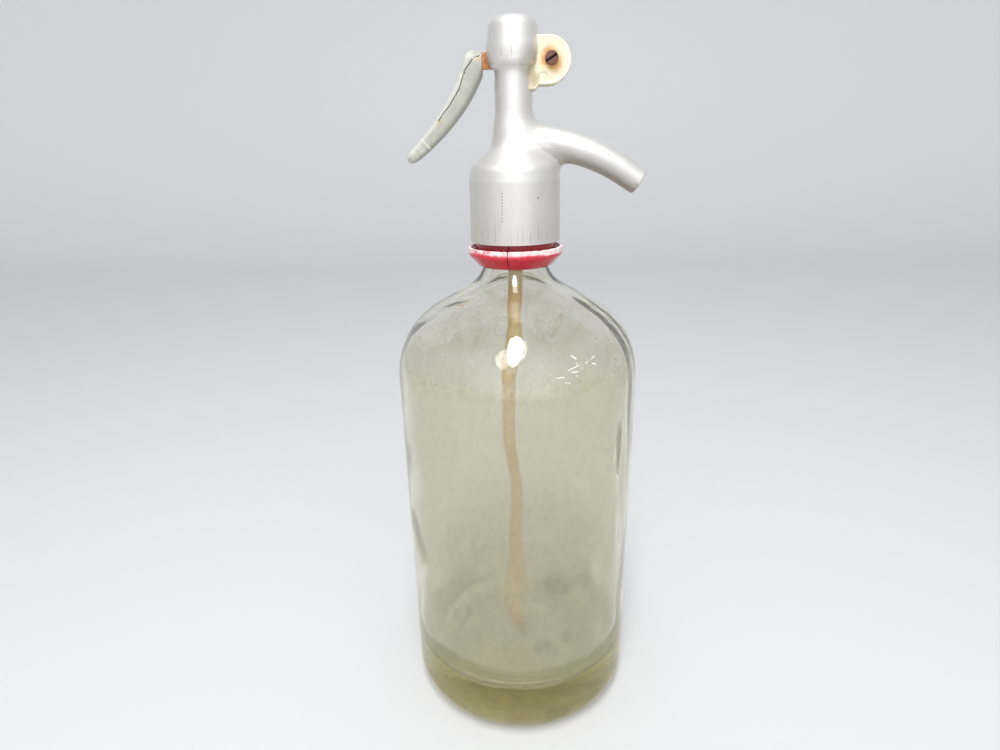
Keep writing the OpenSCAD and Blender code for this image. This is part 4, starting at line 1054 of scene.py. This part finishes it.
def greyPlastic():
    g = Finish("greyPlastic")
    blotch = g.noise(4.5, 5, 0.6, 1.0)
    fine = g.noise(0.45, 4, 0.65, 2.0)
    rubbed = g.noise(1.2, 5, 0.7, 3.0)
    colour = g.mix(g.between(blotch, 0.35, 0.7), grip["colour"], (0.47, 0.465, 0.40))
    # Painted light: the front's strip towards the upper side is a lighter grey, as its lit side
    colour = g.coats(colour, (g.times(g.mark("litUpperStrip"), 0.75), grip["pale"]),
                     # Painted shade: the underside is a darker grey
                     (g.times(g.mark("shadedUnderside"), 0.45), (0.30, 0.30, 0.27)),
                     (g.times(g.mark("band"), g.between(rubbed, 0.35, 0.6)), (0.80, 0.78, 0.68)),
                     (g.times(g.mark("tip"), g.between(rubbed, 0.4, 0.65, 0, 0.5)), (0.70, 0.70, 0.66)))
    jag = g.around(rubbed, 0.0022)
    stain = g.sums("MAXIMUM", g.spot((-28.6, -4.6, 261.2), 0.5, 1.1, jag),
                   g.times(g.spot((-13.2, -3.5, 281.8), 0.6, 1.3, jag), 0.8))
    colour = g.coats(colour, (g.times(stain, 0.8), (0.45, 0.28, 0.05)),
                     (g.between(g.mark("crack"), 0.35, 0.8), (0.02, 0.018, 0.014)))
    specks = g.dots(1.5, 0.13, 0.2, 6.0)
    colour = g.mix(g.times(specks, 0.45), colour, (0.16, 0.14, 0.10))
    g.set(Base_Color=colour, Roughness=g.spread(blotch, 0.38, 0.52),
          Normal=g.bump(rubbed, 0.03, g.bump(fine, 0.015, g.bump(blotch, 0.08))))
    return g.made


def makeGrip():
    (x0, z0), (l1, s1), (l2, s2), (x3, z3) = grip["path"]
    p0, p3 = np.array([x0, z0]), np.array([x3, z3])
    p1 = p0 + l1 * np.array([-math.cos(math.radians(s1)), -math.sin(math.radians(s1))])
    p2 = p3 + l2 * np.array([math.cos(math.radians(s2)), math.sin(math.radians(s2))])
    u = np.linspace(0, 1, grip["rows"])
    t = (u - 0.028 * np.sin(2 * math.pi * u))[:, None]      # closer rows at both ends
    mid = (1 - t) ** 3 * p0 + 3 * t * (1 - t) ** 2 * p1 + 3 * t * t * (1 - t) * p2 + t ** 3 * p3
    ahead = (1 - t) ** 2 * (p1 - p0) + 2 * t * (1 - t) * (p2 - p1) + t * t * (p3 - p2)
    ahead /= np.linalg.norm(ahead, axis=1, keepdims=True)
    side = np.stack([-ahead[:, 1], ahead[:, 0]], -1)
    t = t[:, 0]
    start, end = grip["headEnd"], grip["tipEnd"]
    ends = np.where(t < start, np.sqrt(np.clip(1 - (1 - t / start) ** 2, 0, 1)),
                    np.where(t > 1 - end, np.sqrt(np.clip(1 - ((t - 1 + end) / end) ** 2, 0, 1)), 1))
    taper = 0.3 * t + 0.7 * t * t
    wide, thick = ((a - (a - b) * taper) / 2 * ends for a, b in (grip["width"], grip["thick"]))
    run = np.concatenate([[0], np.cumsum(np.linalg.norm(np.diff(mid, axis=0), axis=1))])
    bandRun = run[np.argmin(np.linalg.norm(mid - grip["band"], axis=1))]
    band = np.exp(-((run - bandRun) / 0.42) ** 2)
    ribs = smooth(run, bandRun + 1.5, bandRun + 3) * smooth(run, run[-1] - 0.5, run[-1] - 2.5)
    ribs = ribs * np.sin(run * 2 * math.pi / grip["pitch"])
    a = fullTurn(grip["columns"])
    # Squared-off oval: cosine and sine raised to a power below 1, with their signs kept
    c, s = (np.sign(f) * np.abs(f) ** grip["square"] for f in (np.cos(a), np.sin(a)))
    grow = ((0.16 * band + 0.035 * ribs) * ends)[:, None] * (s < 0.2)
    across, y = (((half - grip["inset"] * ends)[:, None] + grow) * way for half, way in ((wide, c), (thick, s)))
    pts = np.stack([mid[:, :1] + side[:, :1] * across, y, mid[:, 1:] + side[:, 1:] * across], -1)
    # Crack: distance to a jagged polyline, on the front only
    crack = evenly(np.array(grip["crack"]), 0.12)
    n = np.arange(len(crack))
    crack = crack + 0.07 * np.stack([np.sin(n * 0.9) + np.sin(n * 0.37), np.cos(n * 0.71)], -1)
    flat = pts[..., [0, 2]].reshape(-1, 2)
    far = np.sqrt(np.min(((flat[:, None] - crack[None]) ** 2).sum(-1), 1)).reshape(y.shape)
    front = smooth(s[None] + 0 * y, -0.15, -0.5)
    groove = front * np.exp(-(far / 0.24) ** 2)
    chip = front * smooth(np.hypot(pts[..., 0] + 18.9, pts[..., 2] - 277.2), 1.5, 0.5)
    pts[..., 1] += 0.34 * groove + 0.3 * chip * smooth(c[None] + 0 * y, 0.2, -0.6) - 0.05 * front * waves(pts, 6, 61)
    pts[..., 0] = np.minimum(pts[..., 0], grip["faceX"])
    outward = c if side[100, 0] < 0 else -c      # towards the grip's upper side
    # The front's strip towards the upper side is marked for a painted lighter grey, and the underside for a painted
    # darker grey
    marks = {"crack": front * smooth(far, 0.27, 0.09), "band": band[:, None] * (s < 0.2) + 0 * y,
             "tip": smooth(run, bandRun + 1, bandRun + 2)[:, None] * front,
             "litUpperStrip": front * smooth(outward[None] + 0 * y, 0.25, 0.7),
             "shadedUnderside": smooth(-outward[None], 0.55, 0.9) * smooth(s[None] + 0 * y, 0.3, -0.2) + 0 * y}
    makePiece("leverGrip", "lever", greyPlastic(), pts, gridFaces(len(u), len(a)),
              ["lever_grip"], 60, marks)


makeArm()
makeGrip()


# Valve inside the column: the frame's own pieces with their finishes, and a round-wire spring

# each finish: pieces, patch noise (size, detail, roughness), the range in which it changes one colour for the other,
# the two colours, fine noise (the same three), metal, roughness from and to, the field that drives it, relief,
# stretch of the fine noise
inside = {
    "tarnishedBrass": (["spring_cap", "valve_spindle", "gland_follower", "valve_body", "washer_cup", "spindle_nut"],
                       (3, 5, 0.6), (0.4, 0.65), (0.66, 0.49, 0.21), (0.42, 0.30, 0.13), (0.4, 4, 0.6),
                       1.0, (0.28, 0.5), "fine", 0.01, (1, 1, 0.2)),
    "blackRubber": (["gland_packing", "stem_oring", "valve_washer", "head_gasket", "neck_gasket", "tube_bush"],
                    (2, 4, 0.6), (0.4, 0.7), (0.018, 0.018, 0.018), (0.05, 0.048, 0.045), (0.3, 4, 0.6),
                    0.0, (0.55, 0.75), "patch", 0.02, None),
    "redFibre": (["body_washer"], (1.5, 4, 0.6), (0.4, 0.7), (0.24, 0.06, 0.04), (0.34, 0.11, 0.07), (0.25, 5, 0.7),
                 0.0, (0.8, 0.8), None, 0.03, None),
    "holderPlastic": (["tube_holder", "tube_nut"], (4, 4, 0.6), (0.4, 0.7), (0.74, 0.70, 0.58), (0.62, 0.56, 0.42),
                      (0.4, 4, 0.6), 0.0, (0.4, 0.55), "fine", 0.02, None)}
spring = {"foot": 265.01, "top": 274.86, "radius": 3.3, "wire": 0.45, "turns": 5}


def insideFinish(name):
    _, patchNoise, ends, colour, other, fineNoise, metal, rough, drives, relief, stretch = inside[name]
    g = Finish(name)
    patch = g.noise(*patchNoise, 1.0)
    fine = g.noise(*fineNoise, 2.0, g.stretched(stretch) if stretch else None)
    field = {"patch": patch, "fine": fine, None: None}[drives]
    g.set(Base_Color=g.mix(g.between(patch, *ends), colour, other), Metallic=metal,
          Roughness=g.spread(field, *rough) if field else rough[0], Normal=g.bump(fine, relief))
    return g.made


def makeSpring():
    # A round wire carried up a helix, closed by a small dome at each end
    n = 60 * spring["turns"]
    q = np.linspace(0, 1, n)
    a = 2 * math.pi * spring["turns"] * q
    rise = spring["top"] - spring["foot"] - 2 * spring["wire"]
    out = np.stack([np.cos(a), np.sin(a), 0 * a], -1)
    centre = spring["radius"] * out + np.stack([0 * a, 0 * a, spring["foot"] + spring["wire"] + rise * q], -1)
    wire = np.full(n, spring["wire"])
    wire[[0, -1]] = 0
    b = fullTurn(16)
    centre[0], centre[-1] = centre[1], centre[-2]
    ring = np.cos(b)[None, :, None] * out[:, None] + np.sin(b)[None, :, None] * np.array([0, 0, 1.0])
    pts = centre[:, None] + wire[:, None, None] * ring
    g = Finish("springSteel")
    patch = g.noise(1.2, 5, 0.6, 1.0)
    g.set(Base_Color=g.mix(g.between(patch, 0.45, 0.65), (0.55, 0.55, 0.54), (0.40, 0.33, 0.26)), Metallic=1.0,
          Roughness=g.spread(patch, 0.28, 0.5), Normal=g.bump(patch, 0.01))
    piece = makePiece("returnSpring", None, g.made, pts, gridFaces(n, len(b)), ["return_spring"], 60)
    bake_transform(piece)


for kind, row in inside.items():
    finish = insideFinish(kind)
    for name in row[0]:
        for place in nodes[name].material_slots:
            place.material = finish
makeSpring()
print("valve pieces finished")
